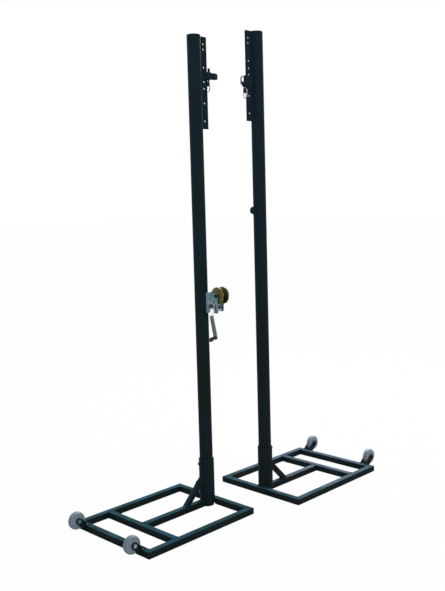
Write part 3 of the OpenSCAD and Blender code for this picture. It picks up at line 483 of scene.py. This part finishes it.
def yellow_zinc(look):
    """Yellow passivated zinc: olive gold that drifts to green and rose."""
    s = Surface("yellow_zinc")
    across = s.parts(s.place)[0]
    toward_gear = s.span(across, middle_of("drum").x, middle_of("drum_gear").x, 0.0, 0.35)
    rosy = s.maths("ADD", toward_gear, s.span(s.noise(0.035, 4.0), 0.42, 0.66))
    base = s.blend(rosy, rgba(look.gold), rgba(look.rose))
    green = (look.gold[0] * 0.62, look.gold[1] * 0.95, look.gold[2] * 1.1)
    clouds = s.span(s.noise(0.022, 3.0, s.stretched(1.0, 0.7, 1.3)), 0.50, 0.70)
    base = s.blend(clouds, base, rgba(green))
    base = s.blend(s.maths("MULTIPLY", s.edges(0.0008), 0.45), base, rgba((0.62, 0.56, 0.32)))
    oil = s.span(s.noise(0.012, 5.0), 0.58, 0.74, 0.0, 0.6)
    base = s.blend(oil, base, rgba(look.gold, 0.30))
    rough = s.span(s.noise(0.004, 4.0), 0.3, 0.7, 0.30, 0.46)
    grain = s.bump(s.noise(0.0015, 3.0), 0.03 * MM, 0.6)
    return s.set(Base_Color=base, Metallic=0.85, Roughness=rough, Normal=grain)


def cast_nylon(look):
    """Off-white nylon with mould flow, specks of dirt, and treads darker and greyer than the faces."""
    s = Surface("cast_nylon")
    flow = s.span(s.noise(0.03, 3.0), 0.3, 0.7)
    base = s.blend(flow, rgba(look.nylon), rgba(look.nylon, 0.86))
    # The treads are given a darker, greyer colour than the faces.
    sideways = s.maths("ABSOLUTE", s.normal()[1])
    base = s.blend(s.span(sideways, 0.35, 0.90), rgba(look.tread), base)
    dirt = s.span(s.noise(0.006, 6.0, roughness=0.7), 0.52, 0.78, 0.0, 0.45)
    base = s.blend(dirt, base, rgba(look.grime))
    rough = s.span(s.noise(0.004, 4.0), 0.3, 0.7, 0.38, 0.58)
    skin = s.bump(s.noise(0.0018, 3.0), 0.08 * MM, 0.5)
    return s.set(Base_Color=base, Roughness=rough, Specular_IOR_Level=0.42, Subsurface_Weight=0.08,
                 Subsurface_Scale=0.004, Normal=skin)


def black_moulding(look):
    """Black plastic with a fine spark-eroded grain and greyed edges."""
    s = Surface("black_moulding")
    base = s.blend(s.span(s.noise(0.01, 4.0), 0.4, 0.7), rgba(look.black), rgba(look.black, 2.2))
    base = s.blend(s.maths("MULTIPLY", s.edges(0.0008), 0.3), base, rgba((0.09, 0.09, 0.09)))
    rough = s.span(s.noise(0.003, 3.0), 0.3, 0.7, 0.42, 0.60)
    return s.set(Base_Color=base, Roughness=rough, Specular_IOR_Level=0.35,
                 Normal=s.bump(s.cells(0.0009), 0.05 * MM, 0.5))


def finish_node(name, material):
    for slot in NODES[name].material_slots:
        slot.material = material


def finish_slots(materials):
    """Gives the CAD nodes the finishes that materials holds for their record slots."""
    for name in NODES:
        if SLOT_OF[name] in materials:
            finish_node(name, materials[SLOT_OF[name]])


def material_named(name):
    material = bpy.data.materials.get(name)
    if material is None:
        raise RuntimeError(f"the material {name} has not been made yet")
    return material


# ---------------------------------------------------------------- mesh building

def new_piece(name, build, material, body, smooth=True):
    """Makes a mesh object with build(bmesh), with a finish and a slot, and lets it ride a body."""
    mesh = bpy.data.meshes.new(name)
    shape = bmesh.new()
    build(shape)
    bmesh.ops.recalc_face_normals(shape, faces=shape.faces)
    for face in shape.faces:
        face.smooth = smooth
    shape.to_mesh(mesh)
    shape.free()
    piece = bpy.data.objects.new(name, mesh)
    bpy.context.scene.collection.objects.link(piece)
    mesh.materials.append(material)
    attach(piece, body)
    return piece


def walk(points, step):
    """Points about step apart along a line through the given points, with the ends kept."""
    path = [Vector(point) for point in points]
    out = [path[0]]
    for start, end in zip(path, path[1:]):
        count = max(1, round((end - start).length / step))
        out += [start.lerp(end, (i + 1) / count) for i in range(count)]
    return out


RIPPLE_STEPS = 3            # rings in one ripple of a bead
RIPPLE_SWELL = 0.13         # how far a ripple stands out, as a share of the bead's radius
BEAD_TIP, BEAD_RISE = 0.45, 0.3     # share of the radius at a bead's end, and its gain a ring


def add_bead(shape, points, radius, pitch, sides=8):
    """Adds one weld bead: a rippled tube along the points, closed at both ends."""
    path = walk(points, pitch / RIPPLE_STEPS)
    side = None
    rings = []
    for i, point in enumerate(path):
        along = (path[min(i + 1, len(path) - 1)] - path[max(i - 1, 0)]).normalized()
        side = along.orthogonal() if side is None else side - along * side.dot(along)
        side.normalize()
        other = along.cross(side)
        swell = 1.0 + RIPPLE_SWELL * math.cos(2 * math.pi * i / RIPPLE_STEPS)
        taper = min(1.0, BEAD_TIP + BEAD_RISE * min(i, len(path) - 1 - i))
        ring = []
        for k in range(sides):
            angle = 2 * math.pi * k / sides
            offset = side * math.cos(angle) + other * math.sin(angle)
            ring.append(shape.verts.new(point + offset * radius * swell * taper))
        rings.append(ring)
    for low, high in zip(rings, rings[1:]):
        for k in range(sides):
            shape.faces.new((low[k], low[(k + 1) % sides], high[(k + 1) % sides], high[k]))
    shape.faces.new(list(reversed(rings[0])))
    shape.faces.new(rings[-1])


def add_plate(shape, outline, thickness, bevel):
    """Adds a flat plate: a closed loop of points, thickened along a vector, edges bevelled."""
    near = [shape.verts.new(point) for point in outline]
    far = [shape.verts.new(Vector(point) + Vector(thickness)) for point in outline]
    faces = [shape.faces.new(near), shape.faces.new(list(reversed(far)))]
    for k in range(len(near)):
        after = (k + 1) % len(near)
        faces.append(shape.faces.new((near[after], near[k], far[k], far[after])))
    edges = {edge for face in faces[:2] for edge in face.edges}
    bmesh.ops.bevel(shape, geom=list(edges), offset=bevel, segments=2, affect="EDGES", profile=0.5)


def add_turned(shape, centre, along, profile, sides):
    """Adds a turned form: (radius, distance along) points, spun about a line through centre."""
    along = Vector(along).normalized()
    side = along.orthogonal().normalized()
    other = along.cross(side)
    rings = []
    for radius, reach in profile:
        middle = Vector(centre) + along * reach
        if radius == 0:
            rings.append([shape.verts.new(middle)] * sides)
            continue
        turns = [2 * math.pi * k / sides for k in range(sides)]
        spokes = [side * math.cos(turn) + other * math.sin(turn) for turn in turns]
        rings.append([shape.verts.new(middle + spoke * radius) for spoke in spokes])
    for low, high in zip(rings, rings[1:]):
        for k in range(sides):
            after = (k + 1) % sides
            corners = []
            for vert in (low[k], low[after], high[after], high[k]):
                if vert not in corners:
                    corners.append(vert)
            shape.faces.new(corners)


def arc(radius, start, end, count, height):
    """Points of a level arc about the pole axis, angles in degrees."""
    turns = [math.radians(start + (end - start) * i / count) for i in range(count + 1)]
    return [(radius * math.cos(turn), radius * math.sin(turn), height) for turn in turns]


THREAD_STEPS = 20           # steps in one turn of a thread
THREAD_FADE = 6             # steps over which a thread rises at each end
THREAD_SINK = 0.05 * MM     # how far a thread's foot lies inside the shank
THREAD_FLANK = 0.38         # half width of a thread's foot, as a share of its pitch


def add_thread(shape, start, along, length, radius, pitch, depth):
    """Adds a helical ridge round a bolt's shank, from start along a direction."""
    along = Vector(along).normalized()
    side = along.orthogonal().normalized()
    other = along.cross(side)
    count = max(2, int(length / pitch * THREAD_STEPS))
    foot = radius - THREAD_SINK
    flank = along * pitch * THREAD_FLANK
    rows = []
    for i in range(count + 1):
        angle = 2 * math.pi * i / THREAD_STEPS
        out = side * math.cos(angle) + other * math.sin(angle)
        base = Vector(start) + along * (pitch * i / THREAD_STEPS)
        fade = min(1.0, i / THREAD_FADE, (count - i) / THREAD_FADE)
        rows.append([shape.verts.new(base + out * foot - flank),
                     shape.verts.new(base + out * (foot + depth * fade)),
                     shape.verts.new(base + out * foot + flank)])
    for low, high in zip(rows, rows[1:]):
        for k in range(3):
            shape.faces.new((low[k], low[(k + 1) % 3], high[(k + 1) % 3], high[k]))


# ---------------------------------------------------------------- operators: finishes

class POSTS_OT_paint(bpy.types.Operator):
    """Powder-coats the poles, bars, carriages and base frames"""

    bl_idname = "posts.paint"
    bl_label = "Powder coat"

    def execute(self, context):
        finish_slots({"frame_paint": powder_coat(context.scene.post_paint)})
        return {"FINISHED"}


class POSTS_OT_plating(bpy.types.Operator):
    """Plates the bolts, pins, winch and snap hooks"""

    bl_idname = "posts.plating"
    bl_label = "Plating"

    def execute(self, context):
        look = context.scene.post_plating
        fine, coarse = look.spangle * 0.6, look.spangle * 1.4
        dark = zinc_plate("blackened_steel", look.dark, fine, 0.40, 0.10, 0.35)
        # The crank nut is darkened in part as painted shade from the parts round the shaft.
        worn = zinc_plate("worn_nut_steel", look.nut, fine, 0.45, 0.10, 0.3)
        finish_slots({
            "zinc_hardware": zinc_plate("bright_zinc", look.zinc, fine),
            "dark_hardware": dark,
            # The winch plate's wide pale edges are a painted edge highlight.
            "winch_plate": zinc_plate("winch_plate_zinc", look.plate, coarse, 0.42, 0.16, 0.7,
                                      2.6 * MM),
            # The crank arm carries a painted highlight round its shaft.
            "crank_steel": zinc_plate("crank_steel", look.crank, look.spangle, 0.40, 0.08, 0.6,
                                      highlight_at=JOINTS["crank_spin"]["pos_m"]),
            "snap_steel": zinc_plate("snap_wire_steel", look.wire, look.spangle * 0.5, 0.30,
                                     0.10, 0.4),
            "yellow_zinc": yellow_zinc(look),
        })
        finish_node("crank_nut", worn)
        for name in ("winch_base_clamp_bolt", "hook_base_clamp_bolt", "rope_sheave_bolt",
                     "hook_base_axle_bolts", "net_hook"):
            finish_node(name, dark)
        return {"FINISHED"}


class POSTS_OT_plastics(bpy.types.Operator):
    """Finishes the nylon wheels and the black mouldings"""

    bl_idname = "posts.plastics"
    bl_label = "Plastics"

    def execute(self, context):
        look = context.scene.post_plastic
        finish_slots({"wheel_nylon": cast_nylon(look), "black_plastic": black_moulding(look)})
        return {"FINISHED"}


# ---------------------------------------------------------------- operators: wheels and forks

FORK_T = 4 * MM
FORK_EYE_R = 17 * MM
FORK_TOE = 21 * MM          # length of the toe on the rail's top
FORK_RISE = 2.5 * MM        # height of the toe's end
FORK_LOW = 4.5 * MM         # lowest point of the heel on the rail's face
WEB_TOP = 45 * MM
PLATE_BEVEL = 0.6 * MM
FOOT_BOLT_IN = 6 * MM       # place of the foot's bolt from the rail's outer face
FOOT_BOLT_UP = 5 * MM       # and above the rail's top
FOOT_BOLT_SHANK_R = 2 * MM
FOOT_BOLT_HEAD = ((0, 2.0), (1.9, 1.8), (2.9, 1.1), (3.3, 0.3), (3.3, 0.0))  # radius, height in mm
BOLT_FINISH = {"winch": "bright_zinc", "hook": "blackened_steel"}


def wheel_middle(post, hand):
    return Vector(JOINTS[f"{post.name}_wheel_{hand}_spin"]["pos_m"])


def touch(eye, radius, point, side):
    """Angle at which a line from point touches the circle about eye, on the given side."""
    line = Vector(point) - Vector(eye)
    return math.atan2(line.y, line.x) + side * math.acos(radius / line.length)


def fork_outline(post, eye):
    """Side view of a fork plate: an arm from the axle's eye to the rail, with a toe on its top."""
    toe = (post.wheel_edge + FORK_TOE, post.tube + FORK_RISE)
    heel = (post.wheel_edge, FORK_LOW)
    start = touch(eye, FORK_EYE_R, heel, -1) % (2 * math.pi)
    end = touch(eye, FORK_EYE_R, toe, 1)
    steps = 26
    turns = [start + (end - start) * i / steps for i in range(steps + 1)]
    round_eye = [(eye[0] + FORK_EYE_R * math.cos(turn), eye[1] + FORK_EYE_R * math.sin(turn))
                 for turn in turns]
    return round_eye + [toe, (toe[0], post.tube), (post.wheel_edge, post.tube), heel]


def add_fork(shape, post, side, eye):
    """Adds the two plates beside one wheel and the web between them on the rail's face."""
    middle = side * post.wheel_y
    inner = post.fork_out - FORK_T
    thick = post.place((0, FORK_T, 0)) - post.place((0, 0, 0))
    for low in (-post.fork_out, inner):
        outline = [post.place((x, middle + low, z)) for x, z in fork_outline(post, eye)]
        add_plate(shape, outline, thick, PLATE_BEVEL)
    web = [(post.wheel_edge - FORK_T, FORK_LOW), (post.wheel_edge, FORK_LOW),
           (post.wheel_edge, WEB_TOP), (post.wheel_edge - FORK_T, WEB_TOP)]
    across = post.place((0, 2 * inner, 0)) - post.place((0, 0, 0))
    add_plate(shape, [post.place((x, middle - inner, z)) for x, z in web], across, PLATE_BEVEL)


class POSTS_OT_forks(bpy.types.Operator):
    """Makes the wheel forks and the bolts through their feet"""

    bl_idname = "posts.forks"
    bl_label = "Wheel forks"

    def execute(self, context):
        coat = material_named("powder_coat")
        for post in POSTS:
            plated = material_named(BOLT_FINISH[post.name])
            axle = wheel_middle(post, "left")
            eye = ((axle.x - post.axis.x) * post.toward_net, axle.z)
            foot = (post.wheel_edge + FOOT_BOLT_IN, post.tube + FOOT_BOLT_UP)

            def build_plates(shape):
                for side in (-1, 1):
                    add_fork(shape, post, side, eye)

            def build_bolts(shape):
                half = [(radius * MM, post.fork_out + out * MM) for radius, out in FOOT_BOLT_HEAD]
                half.append((FOOT_BOLT_SHANK_R, post.fork_out))
                bolt = half + [(radius, -out) for radius, out in reversed(half)]
                for side in (-1, 1):
                    centre = post.place((foot[0], side * post.wheel_y, foot[1]))
                    add_turned(shape, centre, (0, 1, 0), bolt, sides=20)

            plates = new_piece(f"{post.name}_fork_plates", build_plates, coat, f"{post.name}_base",
                               smooth=False)
            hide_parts(f"{post.name}_base_wheel_forks")
            new_piece(f"{post.name}_fork_foot_bolts", build_bolts, plated, f"{post.name}_base")
        return {"FINISHED"}


HUB_R = 16 * MM
HUB_PROUD = 0.6 * MM        # how far the hub stands out from the wheel's sides
HUB_ROUND, HUB_DROP = 0.8 * MM, 0.5 * MM    # width and depth of the bevel on the hub's edge
HUB_FLANK = 1.2 * MM        # width of the slope from the hub into the dish
BORE_BEVEL = 0.6 * MM
DISH = 1 * MM               # how deep the faces are dished
DISH_END, DISH_LIP = 5 * MM, 2 * MM         # where the dish ends, inside the tread's rounding
LIP_DROP = 0.4 * MM
TREAD_CROWN = 1 * MM
TREAD_ROUND = 9.5 * MM
SHOULDER = 0.3              # share of the crown that is lost half way to the rounding


def wheel_profile(tread_r, bush_r, hub_half):
    """Half of a wheel's section, bush to crowned tread: (radius, distance from the middle)."""
    half = hub_half - HUB_PROUD
    face_r = tread_r - TREAD_CROWN - TREAD_ROUND
    shape = [(bush_r, hub_half - BORE_BEVEL), (bush_r + BORE_BEVEL, hub_half),
             (HUB_R - HUB_ROUND, hub_half), (HUB_R, hub_half - HUB_DROP),
             (HUB_R + HUB_FLANK, half - DISH), (face_r - DISH_END, half - DISH),
             (face_r - DISH_LIP, half - LIP_DROP)]
    for degrees in range(90, -1, -9):
        turn = math.radians(degrees)
        shape.append((face_r + TREAD_ROUND * math.cos(turn),
                      half - TREAD_ROUND + TREAD_ROUND * math.sin(turn)))
    shoulder = (tread_r - SHOULDER * TREAD_CROWN, (half - TREAD_ROUND) / 2)
    return shape + [shoulder, (tread_r, 0.0)]


class POSTS_OT_wheels(bpy.types.Operator):
    """Makes the cast nylon wheels with their rounded treads"""

    bl_idname = "posts.wheels"
    bl_label = "Wheels"

    def execute(self, context):
        nylon = material_named("cast_nylon")
        for post in POSTS:
            for hand in ("left", "right"):
                node = f"{post.name}_post_wheel_{hand}"
                bush = size_of(f"{post.name}_post_bush_{hand}")
                half = wheel_profile(size_of(node).z / 2, bush.z / 2, bush.y / 2)
                section = half + [(radius, -out) for radius, out in reversed(half[:-1])]

                def build(shape):
                    add_turned(shape, middle_of(node), (0, 1, 0), section + [section[0]], sides=96)
                    bmesh.ops.remove_doubles(shape, verts=shape.verts, dist=0.01 * MM)

                wheel = new_piece(f"{post.name}_nylon_wheel_{hand}", build, nylon,
                                  f"{post.name}_wheel_{hand}")
                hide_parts(node)
        return {"FINISHED"}


# ---------------------------------------------------------------- operators: welds and threads

BEAD_LEAN = 3.5 * MM        # how far a bead cuts a tube's corner
SEAM_LEAN = 2 * MM          # the same for the flat seams of the mitres
LIGHT_BEAD, SEAM_BEAD, POLE_BEAD = 0.8, 0.4, 0.75  # radii, as shares of the bead radius
BAR_STITCH, BAR_GAP = 34 * MM, 52 * MM
BRACKET_RIB_X = 22 * MM
BRACKET_INSET, LUG_INSET, EDGE_INSET = 12 * MM, 3 * MM, 1 * MM  # beads stop short of an end
THREAD_R = 6 * MM
THREAD_PITCH = 1.2 * MM
THREAD_DEPTH = 0.35 * MM
THREAD_LENGTH = 2.6 * MM
THREAD_START = 0.3 * MM     # from the bolt's end


def tube_collar(post, across, low_x, high_x):
    """U-shaped path over a square tube, at y = across and between low_x and high_x."""
    top, lean = post.tube, BEAD_LEAN
    return [(low_x, across, lean), (low_x, across, top - lean), (low_x + lean, across, top),
            (high_x - lean, across, top), (high_x, across, top - lean), (high_x, across, lean)]


def base_weld_paths(post):
    """Welds of the cross rail, the spine and the sleeve, about the pole axis."""
    tube = post.tube
    inner = post.half_width - tube
    half = tube / 2
    spine_end = post.cross_x + tube
    paths = [tube_collar(post, side * inner, post.cross_x, spine_end) for side in (-1, 1)]
    paths.append([(y, x, z) for x, y, z in tube_collar(post, spine_end, -half, half)])
    reach = math.degrees(math.acos((post.net_edge - tube) / post.sleeve_r))
    paths.append(arc(post.sleeve_r, -reach, reach, 24, tube))
    swing = math.degrees(math.asin(half / post.sleeve_r))
    paths.append(arc(post.sleeve_r, 180 - swing, 180 + swing, 12, tube))
    return paths


def brace_weld_paths(post, slope):
    """Welds at the brace's foot and round its coped upper end."""
    tube = post.tube
    half = post.brace_tube / 2 - EDGE_INSET
    foot = [post.brace_end, post.brace_end + post.brace_tube / math.sin(slope)]
    paths = [[(x, -half, tube), (x, half, tube)] for x in foot]
    rise = math.tan(slope)
    loop = []
    for x_foot, ys in ((foot[0], range(-4, 5)), (foot[1], range(4, -5, -1))):
        for k in ys:
            y = half * k / 4
            x = -math.sqrt(post.sleeve_r ** 2 - y * y)
            loop.append((x, y, tube + (x - x_foot) * rise))
    loop.append(loop[0])
    paths.append(loop)
    return paths


def fork_weld_paths(post):
    """Welds round the fork plates' outer sides: along the rail's top and down its outer face."""
    edge, top = post.wheel_edge, post.tube
    paths = []
    for side in (-1, 1):
        for out in (-post.fork_out, post.fork_out):
            y = side * post.wheel_y + out
            paths.append([(edge + FORK_TOE - EDGE_INSET, y, top), (edge + BEAD_LEAN, y, top),
                          (edge, y, top - BEAD_LEAN), (edge, y, FORK_LOW + EDGE_INSET)])
    return paths


def corner_weld_paths(post):
    """Flat seams over the mitred corners."""
    tube, lean = post.tube, SEAM_LEAN
    seam = ((lean, lean), (lean, tube - lean), (2 * lean, tube), (tube - lean, tube))
    return [[(x + inward * step, side * (post.half_width - step), z) for step, z in seam]
            for x, inward in ((post.net_edge, -1), (post.wheel_edge, 1)) for side in (-1, 1)]


def add_beads(shape, post, paths, sizes, share):
    """Adds a bead along each path of a post, its radius a share of the bead radius."""
    for path in paths:
        points = [post.place(point) for point in path]
        add_bead(shape, points, sizes.bead * share, sizes.ripple)


class POSTS_OT_base_welds(bpy.types.Operator):
    """Lays the weld beads on both base frames"""

    bl_idname = "posts.base_welds"
    bl_label = "Base frame welds"

    def execute(self, context):
        sizes = context.scene.post_welds
        coat = material_named("powder_coat")
        for post in POSTS:
            runs = ((1.0, base_weld_paths(post) + brace_weld_paths(post, sizes.slope)),
                    (LIGHT_BEAD, fork_weld_paths(post)), (SEAM_BEAD, corner_weld_paths(post)))

            def build(shape):
                for share, paths in runs:
                    add_beads(shape, post, paths, sizes, share)

            new_piece(f"{post.name}_base_welds", build, coat, f"{post.name}_base")
        return {"FINISHED"}


def bar_weld_paths(post):
    """Stitch welds between the height bar and the pole."""
    x = math.sqrt(post.pole_r ** 2 - post.bar_half ** 2)
    length, pitch = post.bar_high - post.bar_low, BAR_STITCH + BAR_GAP
    count = int(length / pitch)
    spare = length - count * pitch + BAR_GAP
    paths = []
    for side in (-1, 1):
        y = side * post.bar_half
        for i in range(count):
            low = post.bar_low + spare / 2 + i * pitch
            paths.append([(x, y, low), (x, y, low + BAR_STITCH)])
    return paths


def bracket_weld_paths(post):
    """Upright welds where the winch bracket's ribs meet the pole."""
    low, high = (corner[2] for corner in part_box("winch_bracket"))
    y = -math.sqrt(post.pole_r ** 2 - BRACKET_RIB_X ** 2)
    return [[(x, y, low + BRACKET_INSET), (x, y, high - BRACKET_INSET)]
            for x in (-BRACKET_RIB_X, BRACKET_RIB_X)]


def lug_weld_paths(post):
    """Welds on both faces of the tie lug."""
    low, high = (corner[2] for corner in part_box("tie_lug"))
    half = size_of("tie_lug").y / 2
    x = math.sqrt(post.pole_r ** 2 - half * half)
    return [[(x, y, low + LUG_INSET), (x, y, high - LUG_INSET)] for y in (-half, half)]


class POSTS_OT_pole_welds(bpy.types.Operator):
    """Lays the weld beads on both poles"""

    bl_idname = "posts.pole_welds"
    bl_label = "Pole welds"

    def execute(self, context):
        sizes = context.scene.post_welds
        coat = material_named("powder_coat")
        extra = {"winch": bracket_weld_paths, "hook": lug_weld_paths}
        for post in POSTS:
            paths = bar_weld_paths(post) + extra[post.name](post)

            def build(shape):
                add_beads(shape, post, paths, sizes, POLE_BEAD)

            new_piece(f"{post.name}_pole_welds", build, coat, f"{post.name}_pole")
        return {"FINISHED"}


class POSTS_OT_threads(bpy.types.Operator):
    """Cuts threads on the ends of the axle bolts"""

    bl_idname = "posts.threads"
    bl_label = "Bolt threads"

    def execute(self, context):
        for post in POSTS:
            plated = material_named(BOLT_FINISH[post.name])
            axle = wheel_middle(post, "left")
            bolt_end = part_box(f"{post.name}_base_axle_bolts")[1][1] - post.axis.y - post.wheel_y
            inward = Vector((0, -post.toward_net, 0))

            def build(shape):
                for side in (-1, 1):
                    y = post.axis.y + side * post.wheel_y + post.toward_net * bolt_end
                    add_thread(shape, Vector((axle.x, y, axle.z)) + inward * THREAD_START, inward,
                               THREAD_LENGTH, THREAD_R, THREAD_PITCH, THREAD_DEPTH)

            new_piece(f"{post.name}_axle_threads", build, plated, f"{post.name}_base")
        return {"FINISHED"}


# ---------------------------------------------------------------- operator: stage

KEY_LAMP = ((3.2, 1.6, 4.6), (0, 0, 0.9), 2.5)      # place, aim, size
FILL_LAMP = ((-4.0, -4.0, 3.6), (0, 0, 1.0), 3.0)
FLOOR_REACH = 60.0
SENSOR_WIDTH = 36.0         # millimetres
CLIP = (0.05, 300.0)


def soft_lamp(name, place, aim, size, power):
    """A large square lamp at place that looks at aim."""
    lamp = bpy.data.lights.new(name, "AREA")
    lamp.shape = "SQUARE"
    lamp.size = size
    lamp.energy = power
    holder = bpy.data.objects.new(name, lamp)
    holder.location = place
    holder.rotation_euler = (Vector(aim) - Vector(place)).to_track_quat("-Z", "Y").to_euler()
    bpy.context.scene.collection.objects.link(holder)


def pale_world(strength, sky):
    """Even room light, seen as plain white by the camera, in reflections and through glass."""
    world = bpy.data.worlds.new("pale_room")
    nodes = NodeTree(world)
    nodes.tree.nodes.clear()
    rays = nodes.add("ShaderNodeLightPath").outputs
    seen = nodes.maths("MAXIMUM", rays["Is Camera Ray"], rays["Is Glossy Ray"])
    seen = nodes.maths("MAXIMUM", seen, rays["Is Transmission Ray"])
    lights = []
    for colour, gain in ((sky, strength), ((1.0, 1.0, 1.0), 1.0)):
        light = nodes.add("ShaderNodeBackground")
        light.inputs["Color"].default_value = rgba(colour)
        light.inputs["Strength"].default_value = gain
        lights.append(light.outputs["Background"])
    out = nodes.add("ShaderNodeOutputWorld")
    nodes.feed(out.inputs["Surface"], nodes.mixed_shader(seen, *lights))
    bpy.context.scene.world = world


def pale_floor(paleness, seen_white):
    """A wide floor that the camera sees nearly white, and that keeps the object's shadow."""
    mesh = bpy.data.meshes.new("floor")
    shape = bmesh.new()
    bmesh.ops.create_grid(shape, x_segments=4, y_segments=4, size=FLOOR_REACH)
    shape.to_mesh(mesh)
    shape.free()
    floor = bpy.data.objects.new("floor", mesh)
    bpy.context.scene.collection.objects.link(floor)
    s = Surface("pale_floor")
    grain = s.span(s.noise(0.004, 3.0), 0.3, 0.7, 0.985, 1.0)
    cloth = s.grey(s.maths("MULTIPLY", grain, paleness))
    s.set(Base_Color=cloth, Roughness=0.9, Specular_IOR_Level=0.1)
    white = s.add("ShaderNodeEmission")
    white.inputs["Strength"].default_value = 1.0
    share = s.maths("MULTIPLY", s.add("ShaderNodeLightPath").outputs["Is Camera Ray"], seen_white)
    mix = s.mixed_shader(share, s.shader.outputs["BSDF"], white.outputs["Emission"])
    s.feed(s.tree.nodes["Material Output"].inputs["Surface"], mix)
    mesh.materials.append(s.material)


def camera_at(stage):
    """The camera, from its heading, dip and roll."""
    forward = Vector((math.cos(stage.dip) * math.cos(stage.heading),
                      math.cos(stage.dip) * math.sin(stage.heading), -math.sin(stage.dip)))
    level = Vector((math.sin(stage.heading), -math.cos(stage.heading), 0.0))
    up = level.cross(forward)
    right = level * math.cos(stage.roll) + up * math.sin(stage.roll)
    up = up * math.cos(stage.roll) - level * math.sin(stage.roll)
    lens = bpy.data.cameras.new("camera")
    lens.lens = stage.lens
    lens.sensor_width = SENSOR_WIDTH
    lens.clip_start, lens.clip_end = CLIP
    camera = bpy.data.objects.new("camera", lens)
    camera.matrix_world = Matrix((right, up, -forward)).transposed().to_4x4()
    camera.location = stage.eye
    bpy.context.scene.collection.objects.link(camera)
    bpy.context.scene.camera = camera


class POSTS_OT_stage(bpy.types.Operator):
    """Sets up the floor, the soft lamps, the pale room and the camera"""

    bl_idname = "posts.stage"
    bl_label = "Studio"

    def execute(self, context):
        stage = context.scene.post_stage
        context.scene.view_settings.view_transform = "Standard"
        pale_world(stage.world, stage.sky)
        pale_floor(stage.floor, stage.wash)
        soft_lamp("key_lamp", *KEY_LAMP, stage.key)
        soft_lamp("fill_lamp", *FILL_LAMP, stage.fill)
        camera_at(stage)
        return {"FINISHED"}


# ---------------------------------------------------------------- panel and start

class POSTS_PT_panel(bpy.types.Panel):
    """Lists the steps that dress the posts"""

    bl_label = "Posts"
    bl_idname = "POSTS_PT_panel"
    bl_space_type = "VIEW_3D"
    bl_region_type = "UI"
    bl_category = "Posts"

    def draw(self, context):
        for operator in STEPS:
            self.layout.operator(operator.bl_idname)
        for name, group in SETTINGS.items():
            box = self.layout.box()
            for key in group.__annotations__:
                box.prop(getattr(context.scene, name), key)


STEPS = (
    POSTS_OT_stage,
    POSTS_OT_paint,
    POSTS_OT_plating,
    POSTS_OT_plastics,
    POSTS_OT_forks,
    POSTS_OT_wheels,
    POSTS_OT_base_welds,
    POSTS_OT_pole_welds,
    POSTS_OT_threads,
)


def register():
    for name, group in SETTINGS.items():
        bpy.utils.register_class(group)
        setattr(bpy.types.Scene, name, bpy.props.PointerProperty(type=group))
    for operator in STEPS:
        bpy.utils.register_class(operator)
    bpy.utils.register_class(POSTS_PT_panel)


def unregister():
    bpy.utils.unregister_class(POSTS_PT_panel)
    for operator in reversed(STEPS):
        bpy.utils.unregister_class(operator)
    for name, group in SETTINGS.items():
        delattr(bpy.types.Scene, name)
        bpy.utils.unregister_class(group)


def main():
    register()
    for operator in STEPS:
        space, action = operator.bl_idname.split(".")
        getattr(getattr(bpy.ops, space), action)()


if __name__ == "__main__":
    main()
